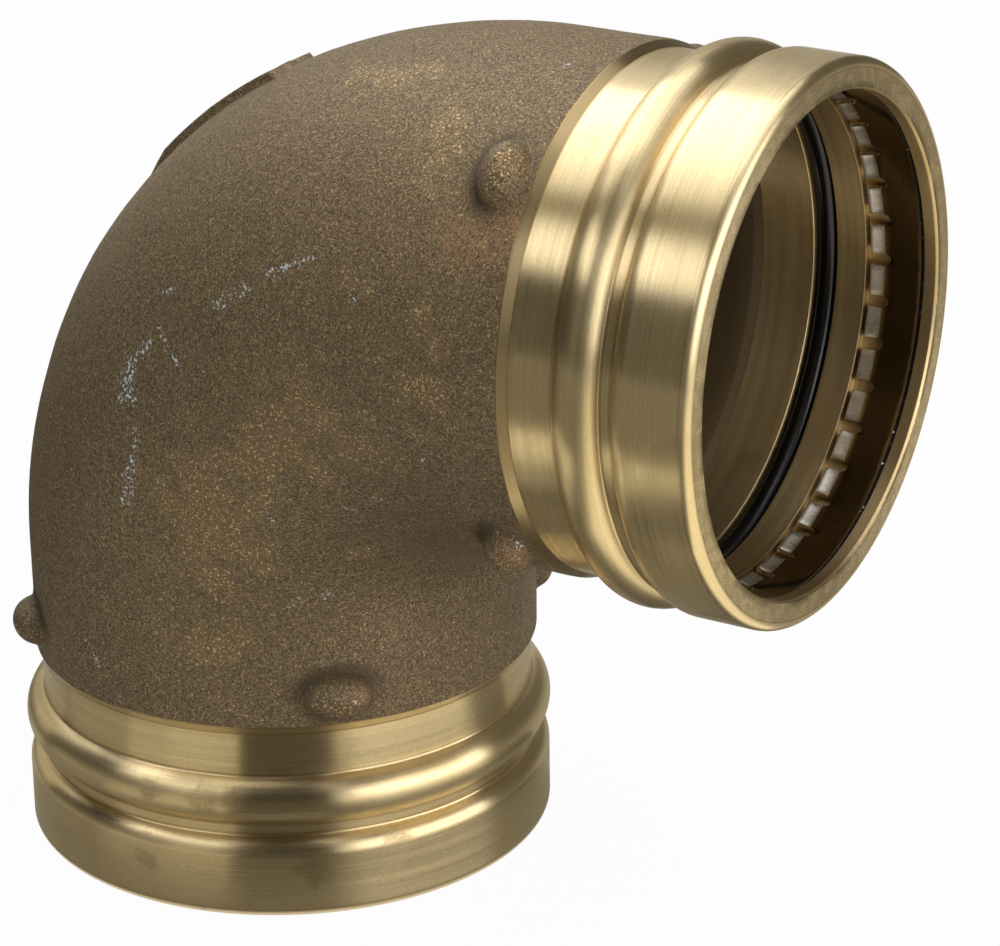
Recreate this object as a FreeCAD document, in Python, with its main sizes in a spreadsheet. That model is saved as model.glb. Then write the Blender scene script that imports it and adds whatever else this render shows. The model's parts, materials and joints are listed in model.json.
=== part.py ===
import FreeCAD, Part
import math
import os

import Sketcher
from FreeCAD import Placement, Rotation, Vector

# Press elbow, 90 degrees, for 108 mm pipe: a sand-cast bronze body with two machined press sockets,
# and in each socket a steel grip ring behind the mouth and a rubber seal ring inside the bead.
# The frame has its origin at the centre of the lower socket's mouth, +Z up along that socket's axis,
# and +X along the side socket's axis, which lies at the height centre_to_mouth. Millimetres.

DRIVING_SIZES = (
    ("pipe_diameter", 108.0, "outside diameter of the pipe that is pressed in"),
    ("pipe_clearance", 0.6, "radial clearance between the pipe and the guide bore"),
    ("centre_to_mouth", 140.0, "from the crossing of the two axes to each mouth"),
    ("bend_radius", 70.0, "centreline radius of the bend"),
    ("socket_depth", 43.5, "from the mouth to the pipe stop"),
    ("stop_height", 1.2, "radial height of the pipe stop above the waterway"),
    ("stop_slope", 1.6, "axial length of the sloping pipe stop"),
    ("cast_wall", 5.4, "wall of the casting around the waterway"),
    ("cast_start", 46.2, "from the mouth to where the cast skin starts"),
    ("cast_step", 2.1, "axial length of the turned slope from the cast skin to the press land"),
    ("land_wall", 2.8, "wall of the press land, on the bore"),
    ("bead_wall", 7.2, "height of the bead's crest above the bore"),
    ("bead_round", 6.0, "radius of the bead's section"),
    ("bead_centre", 27.7, "from the mouth to the middle of the bead and of its seal ring"),
    ("strip_wall", 3.6, "wall of the narrow strip between the bead and the band, on the bore"),
    ("band_wall", 6.9, "height of the wide band above the bore"),
    ("band_width", 19.2, "from the mouth to the foot of the band's shoulder"),
    ("shoulder_round", 4.3, "radius of the band's shoulder"),
    ("mouth_round", 2.1, "radius of the outer edge of the mouth"),
    ("mouth_bevel", 0.8, "bevel of the inner edge of the mouth"),
    ("lip_length", 3.3, "length of the lip in front of the grip ring"),
    ("grip_groove_width", 14.3, "axial width of the grip ring's groove"),
    ("grip_setback", 0.8, "how far the grip ring's plain band lies outside the bore"),
    ("grip_thickness", 1.2, "thickness of the grip ring's strip"),
    ("grip_clearance", 0.2, "clearance between the grip ring and its groove"),
    ("grip_band", 9.8, "axial width of the grip ring's plain band"),
    ("grip_finger_reach", 3.3, "axial length of the bent fingers"),
    ("grip_proud", 0.15, "how far the finger tips stand inside the bore"),
    ("grip_slot_width", 2.9, "width of the slots between the fingers"),
    ("grip_groups", 6, "number of like groups of fingers round the ring"),
    ("grip_group_fingers", 6, "number of fingers in a group"),
    ("seal_section", 5.2, "diameter of the seal ring's section"),
    ("seal_clearance", 0.2, "clearance between the seal ring and its groove"),
    ("seal_proud", 0.2, "how far the seal ring's crest stands inside the bore"),
    ("seal_bevel", 0.5, "bevel on both edges of the seal ring's groove"),
    ("nub_count", 4, "number of cast nubs round each arm"),
    ("nub_offset", 7.3, "from the start of the cast skin to the middle of the nubs"),
    ("nub_length", 15.0, "length of a nub round the arm"),
    ("nub_width", 10.5, "width of a nub along the arm"),
    ("nub_height", 5.5, "height of a nub above the cast skin"),
    ("nub_root", 0.8, "depth of the nub's middle below the cast skin"),
    ("gate_width", 17.0, "width of the gate stub that is left on the spine of the bend"),
    ("gate_height", 1.4, "height of the gate stub above the cast skin"),
    ("gate_root", 2.0, "depth of the gate stub's foot below the cast skin"),
    ("gate_start", 36.0, "angle round the bend, from level, where the gate stub's slope starts"),
    ("gate_slope", 8.0, "angle that the gate stub's slope takes"),
    ("gate_end", 61.0, "angle round the bend, from level, of the gate stub's broken end"),
)
QUARTER_TURN = 90.0
FULL_TURN = 360.0
HALF_ROUND = "half round"
SAME_PLACE = 1e-6


class Length:
    """A length with its value and the words that bind it to the sheet."""

    def __init__(self, value, words):
        self.value = value
        self.words = words

    def _join(self, other, value, sign):
        words = other.words if isinstance(other, Length) else str(other)
        return Length(value, "(%s %s %s)" % (self.words, sign, words))

    def __add__(self, other):
        return self._join(other, self.value + number(other), "+")

    def __sub__(self, other):
        return self._join(other, self.value - number(other), "-")

    def __mul__(self, other):
        return self._join(other, self.value * number(other), "*")

    def __truediv__(self, other):
        return self._join(other, self.value / number(other), "/")

    def root(self):
        return Length(math.sqrt(self.value), "sqrt(%s)" % self.words)

    def cosine(self):
        return Length(math.cos(math.radians(self.value)), "cos(%s)" % self.words)

    def sine(self):
        return Length(math.sin(math.radians(self.value)), "sin(%s)" % self.words)


def number(item):
    return item.value if isinstance(item, Length) else item


def make_sheet(doc):
    """Write the driving sizes to the sheet and return them as lengths by name."""
    sheet = doc.addObject("Spreadsheet::Sheet", "Sizes")
    for row, (alias, value, meaning) in enumerate(DRIVING_SIZES, start=1):
        sheet.set("A%d" % row, alias)
        sheet.set("B%d" % row, str(value))
        sheet.set("C%d" % row, meaning)
        sheet.setAlias("B%d" % row, alias)
    doc.recompute()
    return {alias: Length(value, "Sizes." + alias) for alias, value, meaning in DRIVING_SIZES}


def bind(item, prop, length):
    item.setExpression(prop, length.words if isinstance(length, Length) else str(length))


def origin_plane(body, role):
    for feature in body.Origin.OriginFeatures:
        if feature.Role == role:
            return feature
    raise ValueError("no origin plane " + role)


def new_sketch(body, name, role):
    """Make a sketch on one of the body's own origin planes."""
    sketch = body.newObject("Sketcher::SketchObject", name)
    sketch.AttachmentSupport = [(origin_plane(body, role), "")]
    sketch.MapMode = "FlatFace"
    return sketch


def place_at_side(sketch, size):
    """Turn a sketch of the XZ plane from the lower socket's axis to the side socket's axis."""
    sketch.AttachmentOffset = Placement(Vector(0, 0, 0), Rotation(Vector(0, 0, 1), QUARTER_TURN))
    bind(sketch, "AttachmentOffset.Base.x", size["centre_to_mouth"])
    bind(sketch, "AttachmentOffset.Base.y", size["centre_to_mouth"])


def pin_point(sketch, geometry, point, place):
    """Hold one point of a sketch at the given distances from the sketch's origin."""
    for kind, axis, distance in (("DistanceX", -2, place[0]), ("DistanceY", -1, place[1])):
        if number(distance) == 0:
            sketch.addConstraint(Sketcher.Constraint("PointOnObject", geometry, point, axis))
            continue
        ends = (-1, 1, geometry, point)
        if number(distance) < 0:
            ends = (geometry, point, -1, 1)
            distance = distance * -1
        item = sketch.addConstraint(Sketcher.Constraint(kind, *ends, number(distance)))
        bind(sketch, "Constraints[%d]" % item, distance)


def arc_between(start, end, radius):
    """Arc from start to end, no more than half a turn, bulging to the right of the way."""
    first = Vector(number(start[0]), number(start[1]), 0)
    last = Vector(number(end[0]), number(end[1]), 0)
    chord = last - first
    half_chord = chord.Length / 2
    if radius == HALF_ROUND:
        radius = half_chord
    radius = number(radius)
    left = Vector(-chord.y, chord.x, 0).normalize()
    centre = (first + last) * 0.5 + left * math.sqrt(max(radius ** 2 - half_chord ** 2, 0.0))
    angles = [math.atan2(point.y - centre.y, point.x - centre.x) for point in (first, last)]
    if angles[1] < angles[0]:
        angles[1] += 2 * math.pi
    return Part.ArcOfCircle(Part.Circle(centre, Vector(0, 0, 1), radius), angles[0], angles[1])


def hold_arc(sketch, index, radius, end):
    """Hold an arc whose two ends are held already, by its radius or as half a circle."""
    if radius == HALF_ROUND:
        upright = abs(sketch.Geometry[index].StartPoint.x - number(end[0])) < SAME_PLACE
        kind = "Vertical" if upright else "Horizontal"
        sketch.addConstraint(Sketcher.Constraint(kind, index, 3, index, 1))
    else:
        item = sketch.addConstraint(Sketcher.Constraint("Radius", index, number(radius)))
        bind(sketch, "Constraints[%d]" % item, radius)


def draw_outline(sketch, corners):
    """Draw a closed outline, anticlockwise. A corner with a radius starts an arc that bulges outward."""
    count = len(corners)
    for index, corner in enumerate(corners):
        following = corners[(index + 1) % count]
        if len(corner) == 3:
            sketch.addGeometry(arc_between(corner, following, corner[2]), False)
        else:
            line = Part.LineSegment(Vector(number(corner[0]), number(corner[1]), 0),
                                    Vector(number(following[0]), number(following[1]), 0))
            sketch.addGeometry(line, False)
    for index, corner in enumerate(corners):
        sketch.addConstraint(Sketcher.Constraint("Coincident", index, 2, (index + 1) % count, 1))
        pin_point(sketch, index, 1, corner)
    for index, corner in enumerate(corners):
        if len(corner) == 3:
            hold_arc(sketch, index, corner[2], corners[(index + 1) % count])


def draw_circle(sketch, radius, centre=None):
    """Draw a circle at the sketch's origin, or at the given point."""
    place = centre or (0, 0)
    middle = Vector(number(place[0]), number(place[1]), 0)
    sketch.addGeometry(Part.Circle(middle, Vector(0, 0, 1), number(radius)), False)
    if centre is None:
        sketch.addConstraint(Sketcher.Constraint("Coincident", 0, 3, -1, 1))
    else:
        pin_point(sketch, 0, 3, centre)
    index = sketch.addConstraint(Sketcher.Constraint("Radius", 0, number(radius)))
    bind(sketch, "Constraints[%d]" % index, radius)


def turn(body, name, kind, sketch, axis, angle=FULL_TURN, midplane=False):
    """Revolve a sketch about an axis line, as added or removed material."""
    feature = body.newObject(kind, name)
    feature.Profile = sketch
    feature.ReferenceAxis = axis
    feature.Angle = angle
    feature.Midplane = midplane
    return feature


def socket_radii(size):
    """Radii that the socket's inside and outside share, from the pipe outwards."""
    bore = size["pipe_diameter"] / 2 + size["pipe_clearance"]
    waterway = bore - size["stop_height"]
    return {
        "bore": bore,
        "waterway": waterway,
        "cast": waterway + size["cast_wall"],
        "land": bore + size["land_wall"],
        "bead": bore + size["bead_wall"],
        "strip": bore + size["strip_wall"],
        "band": bore + size["band_wall"],
        "grip_inner": bore + size["grip_setback"],
        "grip_outer": bore + size["grip_setback"] + size["grip_thickness"],
        "grip_tip": bore - size["grip_proud"],
        "seal_middle": bore - size["seal_proud"] + size["seal_section"] / 2,
    }


def arc_half_width(radius, depth):
    """Half the width of a round section of this radius, at this depth below its crest."""
    return (depth * (radius * 2 - depth)).root()


def outside_outline(size, radius):
    """Half section of the outside of a socket and its straight arm: x is radius, y is from the mouth."""
    arm_end = size["centre_to_mouth"] - size["bend_radius"]
    bead_round = size["bead_round"]
    bead_to_land = arc_half_width(bead_round, radius["bead"] - radius["land"])
    bead_to_strip = arc_half_width(bead_round, radius["bead"] - radius["strip"])
    shoulder = arc_half_width(size["shoulder_round"], radius["band"] - radius["strip"])
    return (
        (0, 0),
        (radius["band"] - size["mouth_round"], 0, size["mouth_round"]),
        (radius["band"], size["mouth_round"]),
        (radius["band"], size["band_width"] - shoulder, size["shoulder_round"]),
        (radius["strip"], size["band_width"]),
        (radius["strip"], size["bead_centre"] - bead_to_strip, bead_round),
        (radius["land"], size["bead_centre"] + bead_to_land),
        (radius["land"], size["cast_start"] - size["cast_step"]),
        (radius["cast"], size["cast_start"]),
        (radius["cast"], arm_end),
        (0, arm_end),
    )


def inside_outline(size, radius):
    """Half section of what is turned out of a socket, and of its arm's waterway."""
    bore = radius["bore"]
    groove_start = size["lip_length"]
    groove_end = groove_start + size["grip_groove_width"]
    groove_bottom = radius["grip_outer"] + size["grip_clearance"]
    seal_round = size["seal_section"] / 2 + size["seal_clearance"]
    seal_low = size["bead_centre"] - seal_round
    seal_high = size["bead_centre"] + seal_round
    bevel = size["seal_bevel"]
    arm_end = size["centre_to_mouth"] - size["bend_radius"]
    return (
        (0, 0),
        (bore + size["mouth_bevel"], 0),
        (bore, size["mouth_bevel"]),
        (bore, groove_start),
        (groove_bottom, groove_start),
        (groove_bottom, groove_end),
        (bore, groove_end),
        (bore, seal_low - bevel),
        (bore + bevel, seal_low),
        (radius["seal_middle"], seal_low, HALF_ROUND),
        (radius["seal_middle"], seal_high),
        (bore + bevel, seal_high),
        (bore, seal_high + bevel),
        (bore, size["socket_depth"]),
        (radius["waterway"], size["socket_depth"] + size["stop_slope"]),
        (radius["waterway"], arm_end),
        (0, arm_end),
    )


def make_bend(body, name, kind, size, tube_radius):
    """Sweep a round section through the quarter turn between the two arms."""
    sketch = new_sketch(body, name + "_section", "XY_Plane")
    bind(sketch, "AttachmentOffset.Base.z", size["centre_to_mouth"] - size["bend_radius"])
    draw_circle(sketch, tube_radius)
    reach = number(size["bend_radius"])
    sketch.addGeometry(Part.LineSegment(Vector(reach, 0, 0), Vector(reach, reach, 0)), True)
    pin_point(sketch, 1, 1, (size["bend_radius"], 0))
    sketch.addConstraint(Sketcher.Constraint("Vertical", 1))
    pin_height = sketch.addConstraint(Sketcher.Constraint("DistanceY", 1, 1, 1, 2, reach))
    bind(sketch, "Constraints[%d]" % pin_height, size["bend_radius"])
    return turn(body, name, kind, sketch, (sketch, ["Axis0"]), QUARTER_TURN)


def make_gate_stub(body, size, radius):
    """What is left of the gate on the spine of the bend: a low pad with one sloping and one broken end."""
    sketch = new_sketch(body, "gate_section", "XZ_Plane")
    bind(sketch, "AttachmentOffset.Base.x", size["bend_radius"])
    bind(sketch, "AttachmentOffset.Base.y", size["centre_to_mouth"] - size["bend_radius"])
    outer = size["bend_radius"] + radius["cast"] + size["gate_height"]
    inner = size["bend_radius"] + radius["cast"] - size["gate_root"]
    corners = []
    for reach, angle in ((outer, size["gate_end"]), (outer, size["gate_start"] + size["gate_slope"]),
                         (inner, size["gate_start"]), (inner, size["gate_end"])):
        corners.append((reach * angle.cosine() * -1, reach * angle.sine()))
    corners[0] += (outer,)
    draw_outline(sketch, corners)
    pad = body.newObject("PartDesign::Pad", "gate_stub")
    pad.Profile = sketch
    pad.SideType = "Symmetric"
    bind(pad, "Length", size["gate_width"])
    return pad


def make_nubs(body, name, size, radius, at_side, axis):
    """Four rounded cast nubs round an arm, midway between the planes of symmetry."""
    nub = body.newObject("PartDesign::AdditiveEllipsoid", name + "_first")
    nub.AttachmentSupport = [(origin_plane(body, "XY_Plane"), "")]
    nub.MapMode = "FlatFace"
    turned = Rotation(Vector(0, 0, 1), QUARTER_TURN / 2) * Rotation(Vector(0, 1, 0), QUARTER_TURN)
    across = (radius["cast"] - size["nub_root"]) * math.sqrt(0.5)
    along = size["cast_start"] + size["nub_offset"]
    mouth = size["centre_to_mouth"]
    place = (across, across, along)
    if at_side:
        turned = Rotation(Vector(0, 1, 0), -QUARTER_TURN) * turned
        place = (mouth - along, across, mouth + across)
    nub.AttachmentOffset = Placement(Vector(0, 0, 0), turned)
    for letter, length in zip("xyz", place):
        bind(nub, "AttachmentOffset.Base." + letter, length)
    bind(nub, "Radius1", size["nub_height"] + size["nub_root"])
    bind(nub, "Radius2", size["nub_width"] / 2)
    bind(nub, "Radius3", size["nub_length"] / 2)
    body.Document.recompute()
    pattern = body.newObject("PartDesign::PolarPattern", name)
    pattern.Originals = [nub]
    pattern.Axis = axis
    pattern.Angle = FULL_TURN
    bind(pattern, "Occurrences", size["nub_count"])
    body.Tip = pattern
    body.Document.recompute()
    return pattern


def turn_socket(body, name, kind, side, size, outline):
    """Turn a socket's half section about its own axis."""
    sketch = new_sketch(body, name + "_section", "XZ_Plane")
    if side == "side":
        place_at_side(sketch, size)
    draw_outline(sketch, outline)
    axis = (sketch, ["V_Axis"])
    turn(body, name, kind, sketch, axis)
    return axis


def make_elbow_body(doc, size):
    """The casting: two arms with their machined sockets and the bend between, nubs and gate stub, then
    the hollow, taken out in the same order along the pipe's path."""
    body = doc.addObject("PartDesign::Body", "elbow_body")
    radius = socket_radii(size)
    outside = outside_outline(size, radius)
    inside = inside_outline(size, radius)
    lower_axis = turn_socket(body, "lower_outside", "PartDesign::Revolution", "lower", size, outside)
    make_bend(body, "bend_skin", "PartDesign::Revolution", size, radius["cast"])
    side_axis = turn_socket(body, "side_outside", "PartDesign::Revolution", "side", size, outside)
    make_gate_stub(body, size, radius)
    doc.recompute()
    make_nubs(body, "lower_nubs", size, radius, False, lower_axis)
    make_nubs(body, "side_nubs", size, radius, True, side_axis)
    turn_socket(body, "lower_inside", "PartDesign::Groove", "lower", size, inside)
    make_bend(body, "bend_waterway", "PartDesign::Groove", size, radius["waterway"])
    turn_socket(body, "side_inside", "PartDesign::Groove", "side", size, inside)
    return body


def place_in_socket(body, side, size):
    """Put a ring, which is modelled in the lower socket, into the socket it belongs to."""
    if side == "side":
        body.Placement = Placement(Vector(0, 0, 0), Rotation(Vector(0, 1, 0), -QUARTER_TURN))
        bind(body, "Placement.Base.x", size["centre_to_mouth"])
        bind(body, "Placement.Base.z", size["centre_to_mouth"])


def make_seal_ring(doc, side, size):
    """Rubber ring of round section in the groove inside the bead."""
    body = doc.addObject("PartDesign::Body", "seal_ring_" + side)
    radius = socket_radii(size)
    sketch = new_sketch(body, "seal_section_" + side, "XZ_Plane")
    draw_circle(sketch, size["seal_section"] / 2, (radius["seal_middle"], size["bead_centre"]))
    turn(body, "seal_turn_" + side, "PartDesign::Revolution", sketch, (sketch, ["V_Axis"]))
    place_in_socket(body, side, size)
    return body


def grip_outline(size, radius):
    """Section of the grip ring: a plain band, then fingers bent in towards the pipe."""
    start = size["lip_length"] + size["grip_clearance"]
    bend = start + size["grip_band"]
    tip = bend + size["grip_finger_reach"]
    return (
        (radius["grip_inner"], start),
        (radius["grip_outer"], start),
        (radius["grip_outer"], bend),
        (radius["grip_tip"] + size["grip_thickness"], tip),
        (radius["grip_tip"], tip),
        (radius["grip_inner"], bend),
    )


def repeat_whole(body, name, axis, count, spacing):
    """Repeat the whole body so far round an axis."""
    body.Document.recompute()
    pattern = body.newObject("PartDesign::PolarPattern", name)
    pattern.TransformMode = "Whole shape"
    pattern.Mode = "Spacing"
    pattern.Axis = axis
    bind(pattern, "Offset", spacing)
    bind(pattern, "Occurrences", count)
    body.Tip = pattern


def make_grip_ring(doc, side, size):
    """Steel ring whose inboard edge is slotted into bent fingers: one finger's sector, then all round."""
    body = doc.addObject("PartDesign::Body", "grip_ring_" + side)
    radius = socket_radii(size)
    group_angle = Length(FULL_TURN, "%g" % FULL_TURN) / size["grip_groups"]
    finger_angle = group_angle / size["grip_group_fingers"]
    section = new_sketch(body, "grip_section_" + side, "XZ_Plane")
    draw_outline(section, grip_outline(size, radius))
    axis = (section, ["V_Axis"])
    sector = turn(body, "grip_sector_" + side, "PartDesign::Revolution", section, axis, midplane=True)
    bind(sector, "Angle", finger_angle)

    bend = size["lip_length"] + size["grip_clearance"] + size["grip_band"]
    past_tips = bend + size["grip_finger_reach"] * 2
    half = size["grip_slot_width"] / 2
    for edge, turned in (("left", finger_angle / 2), ("right", finger_angle / 2 * -1)):
        slot = new_sketch(body, "grip_slot_%s_%s" % (edge, side), "YZ_Plane")
        slot.AttachmentOffset = Placement(Vector(0, 0, 0), Rotation(Vector(0, 1, 0), number(turned)))
        bind(slot, "AttachmentOffset.Rotation.Angle", turned)
        draw_outline(slot, ((half, bend), (half, past_tips), (half * -1, past_tips), (half * -1, bend, HALF_ROUND)))
        doc.recompute()
        cut = body.newObject("PartDesign::Pocket", "grip_cut_%s_%s" % (edge, side))
        cut.Profile = slot
        cut.Reversed = True
        bind(cut, "Length", radius["band"])
    repeat_whole(body, "grip_group_" + side, axis, size["grip_group_fingers"], finger_angle)
    repeat_whole(body, "grip_fingers_" + side, axis, size["grip_groups"], group_angle)
    place_in_socket(body, side, size)
    return body


def check_document(doc, bodies):
    """Stop if any object of the document failed, or a piece has no valid solid."""
    for item in doc.Objects:
        if "Invalid" in item.State or "Error" in item.State:
            raise RuntimeError("%s failed: %s" % (item.Name, item.State))
    for body in bodies:
        if body.Shape.isNull() or not body.Shape.isValid() or len(body.Shape.Solids) != 1:
            raise RuntimeError(body.Label + " is not one valid solid")


def main():
    doc = FreeCAD.newDocument("PressElbow")
    size = make_sheet(doc)
    bodies = [make_elbow_body(doc, size)]
    for side in ("lower", "side"):
        bodies.append(make_seal_ring(doc, side, size))
        bodies.append(make_grip_ring(doc, side, size))
    doc.recompute()
    check_document(doc, bodies)
    os.makedirs("parts", exist_ok=True)
    for body in bodies:
        body.Shape.exportStep("parts/%s.step" % body.Label)
        box = body.Shape.BoundBox
        print("%s: %.0f mm3, x %.2f to %.2f, y %.2f to %.2f, z %.2f to %.2f" % (
            body.Label, body.Shape.Volume, box.XMin, box.XMax, box.YMin, box.YMax, box.ZMin, box.ZMax))


main()
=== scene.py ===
"""The looks of a bronze press elbow: the casting with its machined sockets, the seal rings, the grip rings
and the studio stage, laid out as an add-on around the fixed frame."""
import json
import math

import bpy
import numpy as np
from bpy.props import FloatProperty, FloatVectorProperty, IntProperty, PointerProperty
from mathutils import Matrix, Vector, noise


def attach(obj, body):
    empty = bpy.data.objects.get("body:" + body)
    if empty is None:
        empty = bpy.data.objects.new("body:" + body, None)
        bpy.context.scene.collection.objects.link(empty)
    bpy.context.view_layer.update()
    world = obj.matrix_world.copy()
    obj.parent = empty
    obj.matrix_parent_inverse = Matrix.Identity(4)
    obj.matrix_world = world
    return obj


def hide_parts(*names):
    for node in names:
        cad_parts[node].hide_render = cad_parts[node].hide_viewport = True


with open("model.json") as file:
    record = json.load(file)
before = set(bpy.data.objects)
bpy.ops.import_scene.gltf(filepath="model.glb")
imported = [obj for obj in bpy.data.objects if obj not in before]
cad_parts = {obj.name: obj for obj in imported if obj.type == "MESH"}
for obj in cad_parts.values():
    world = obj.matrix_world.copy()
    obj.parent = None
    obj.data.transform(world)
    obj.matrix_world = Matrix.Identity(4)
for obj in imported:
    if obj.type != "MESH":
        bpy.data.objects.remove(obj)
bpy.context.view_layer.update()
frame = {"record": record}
MOUNTS = {mount["name"]: mount for mount in frame["record"]["mounts"]}
MM = 0.001

bl_info = {
    "name": "Press elbow",
    "version": (1, 0, 0),
    "blender": (4, 5, 0),
    "location": "View3D > Sidebar > Press elbow",
    "description": "Builds the looks of a bronze press elbow around its fixed frame",
    "category": "Object",
}


def length(name, description, millimetres):
    """A size of the elbow, given in millimetres and kept in metres."""
    return FloatProperty(name=name, description=description, default=millimetres * MM,
                         unit="LENGTH", subtype="DISTANCE", precision=5)


def angle(name, description, degrees):
    return FloatProperty(name=name, description=description, default=math.radians(degrees),
                         unit="ROTATION", subtype="ANGLE")


def colour(name, description, rgb):
    return FloatVectorProperty(name=name, description=description, default=rgb, size=3,
                               subtype="COLOR", min=0.0, max=1.0)


def amount(name, description, value):
    return FloatProperty(name=name, description=description, default=value)


class ElbowSizes(bpy.types.PropertyGroup):
    """Sizes of the casting and its sockets, measured from each mouth."""

    bore: length("Bore radius", "Radius of the guide bore", MOUNTS["side_socket"]["dims"]["r_mm"])
    centre_to_mouth: length("Centre to mouth", "From the crossing of the two axes to each mouth",
                            MOUNTS["side_socket"]["pos_m"][0] / MM)
    bend_radius: length("Bend radius", "Centreline radius of the bend", 70.0)
    socket_depth: length("Socket depth", "From the mouth to the pipe stop", 43.5)
    stop_height: length("Stop height", "Radial height of the pipe stop", 1.2)
    stop_slope: length("Stop slope", "Axial length of the sloping pipe stop", 1.6)
    cast_wall: length("Cast wall", "Wall of the casting around the waterway", 5.4)
    cast_start: length("Cast start", "From the mouth to where the cast skin starts", 46.2)
    cast_step: length("Cast step", "Axial length of the turned slope below the cast skin", 2.1)
    land_wall: length("Land wall", "Height of the press land above the bore", 2.8)
    bead_wall: length("Bead wall", "Height of the bead's crest above the bore", 7.2)
    bead_round: length("Bead round", "Radius of the bead's section", 6.0)
    bead_centre: length("Bead centre", "From the mouth to the middle of the bead", 27.7)
    strip_wall: length("Strip wall", "Height of the narrow strip above the bore", 3.6)
    band_wall: length("Band wall", "Height of the wide band above the bore", 6.9)
    band_width: length("Band width", "From the mouth to the foot of the band's shoulder", 19.2)
    shoulder_round: length("Shoulder round", "Radius of the band's shoulder", 4.3)
    mouth_round: length("Mouth round", "Radius of the mouth's outer edge", 2.1)
    mouth_bevel: length("Mouth bevel", "Bevel of the mouth's inner edge", 0.55)
    lip: length("Lip", "Length of the lip in front of the grip ring", 3.3)
    groove_width: length("Groove width", "Axial width of the grip ring's groove", 14.3)
    groove_depth: length("Groove depth", "Depth of the grip ring's groove below the bore", 2.2)
    edge_break: length("Edge break", "Width of the broken edges on turned corners", 0.12)
    foot_round: length("Foot round", "Radius that the tool's nose leaves at the feet of bead and band", 0.7)
    nub_offset: length("Nub offset", "From the start of the cast skin to the middle of the nubs", 7.3)
    nub_length: length("Nub length", "Length of a nub round the arm", 15.0)
    nub_width: length("Nub width", "Width of a nub along the arm", 10.5)
    nub_height: length("Nub height", "Height of a nub above the cast skin", 5.5)
    nub_fillet: length("Nub fillet", "How widely a nub runs out into the cast skin", 1.5)
    gate_width: length("Gate width", "Width of the gate stub on the spine of the bend", 17.0)
    gate_height: length("Gate height", "Height of the gate stub above the cast skin", 1.4)
    gate_start: angle("Gate start", "Angle round the bend where the gate stub's slope starts", 36.0)
    gate_slope: angle("Gate slope", "Angle that the gate stub's slope takes", 8.0)
    gate_end: angle("Gate end", "Angle round the bend of the gate stub's broken end", 61.0)
    parting_height: length("Parting ridge", "Height of the faint ridge at the mould's parting line", 0.25)
    skin_wave: length("Skin waves", "How far the cast skin strays from round", 0.28)


class RingSizes(bpy.types.PropertyGroup):
    """Sizes of the rubber and steel rings in each socket."""

    seal_radius: length("Seal radius", "Radius of the middle of the seal ring's section", 57.0)
    seal_section: length("Seal section", "Diameter of the seal ring's section", 5.2)
    grip_start: length("Grip start", "From the mouth to the grip ring's outer edge", 3.5)
    grip_band: length("Grip band", "Axial width of the grip ring's plain band", 9.8)
    grip_reach: length("Finger reach", "Axial length of the bent fingers", 3.3)
    grip_inner: length("Grip inner radius", "Inner radius of the plain band", 55.4)
    grip_tip: length("Grip tip radius", "Inner radius at the finger tips", 54.45)
    grip_thickness: length("Grip thickness", "Thickness of the steel strip", 1.2)
    slot_width: length("Slot width", "Width of the slots between the fingers", 2.9)
    grip_bevel: length("Grip bevel", "Rounding of the strip's cut edges", 0.12)
    fingers: IntProperty(name="Fingers", description="Number of fingers round a grip ring", default=36)


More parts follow.
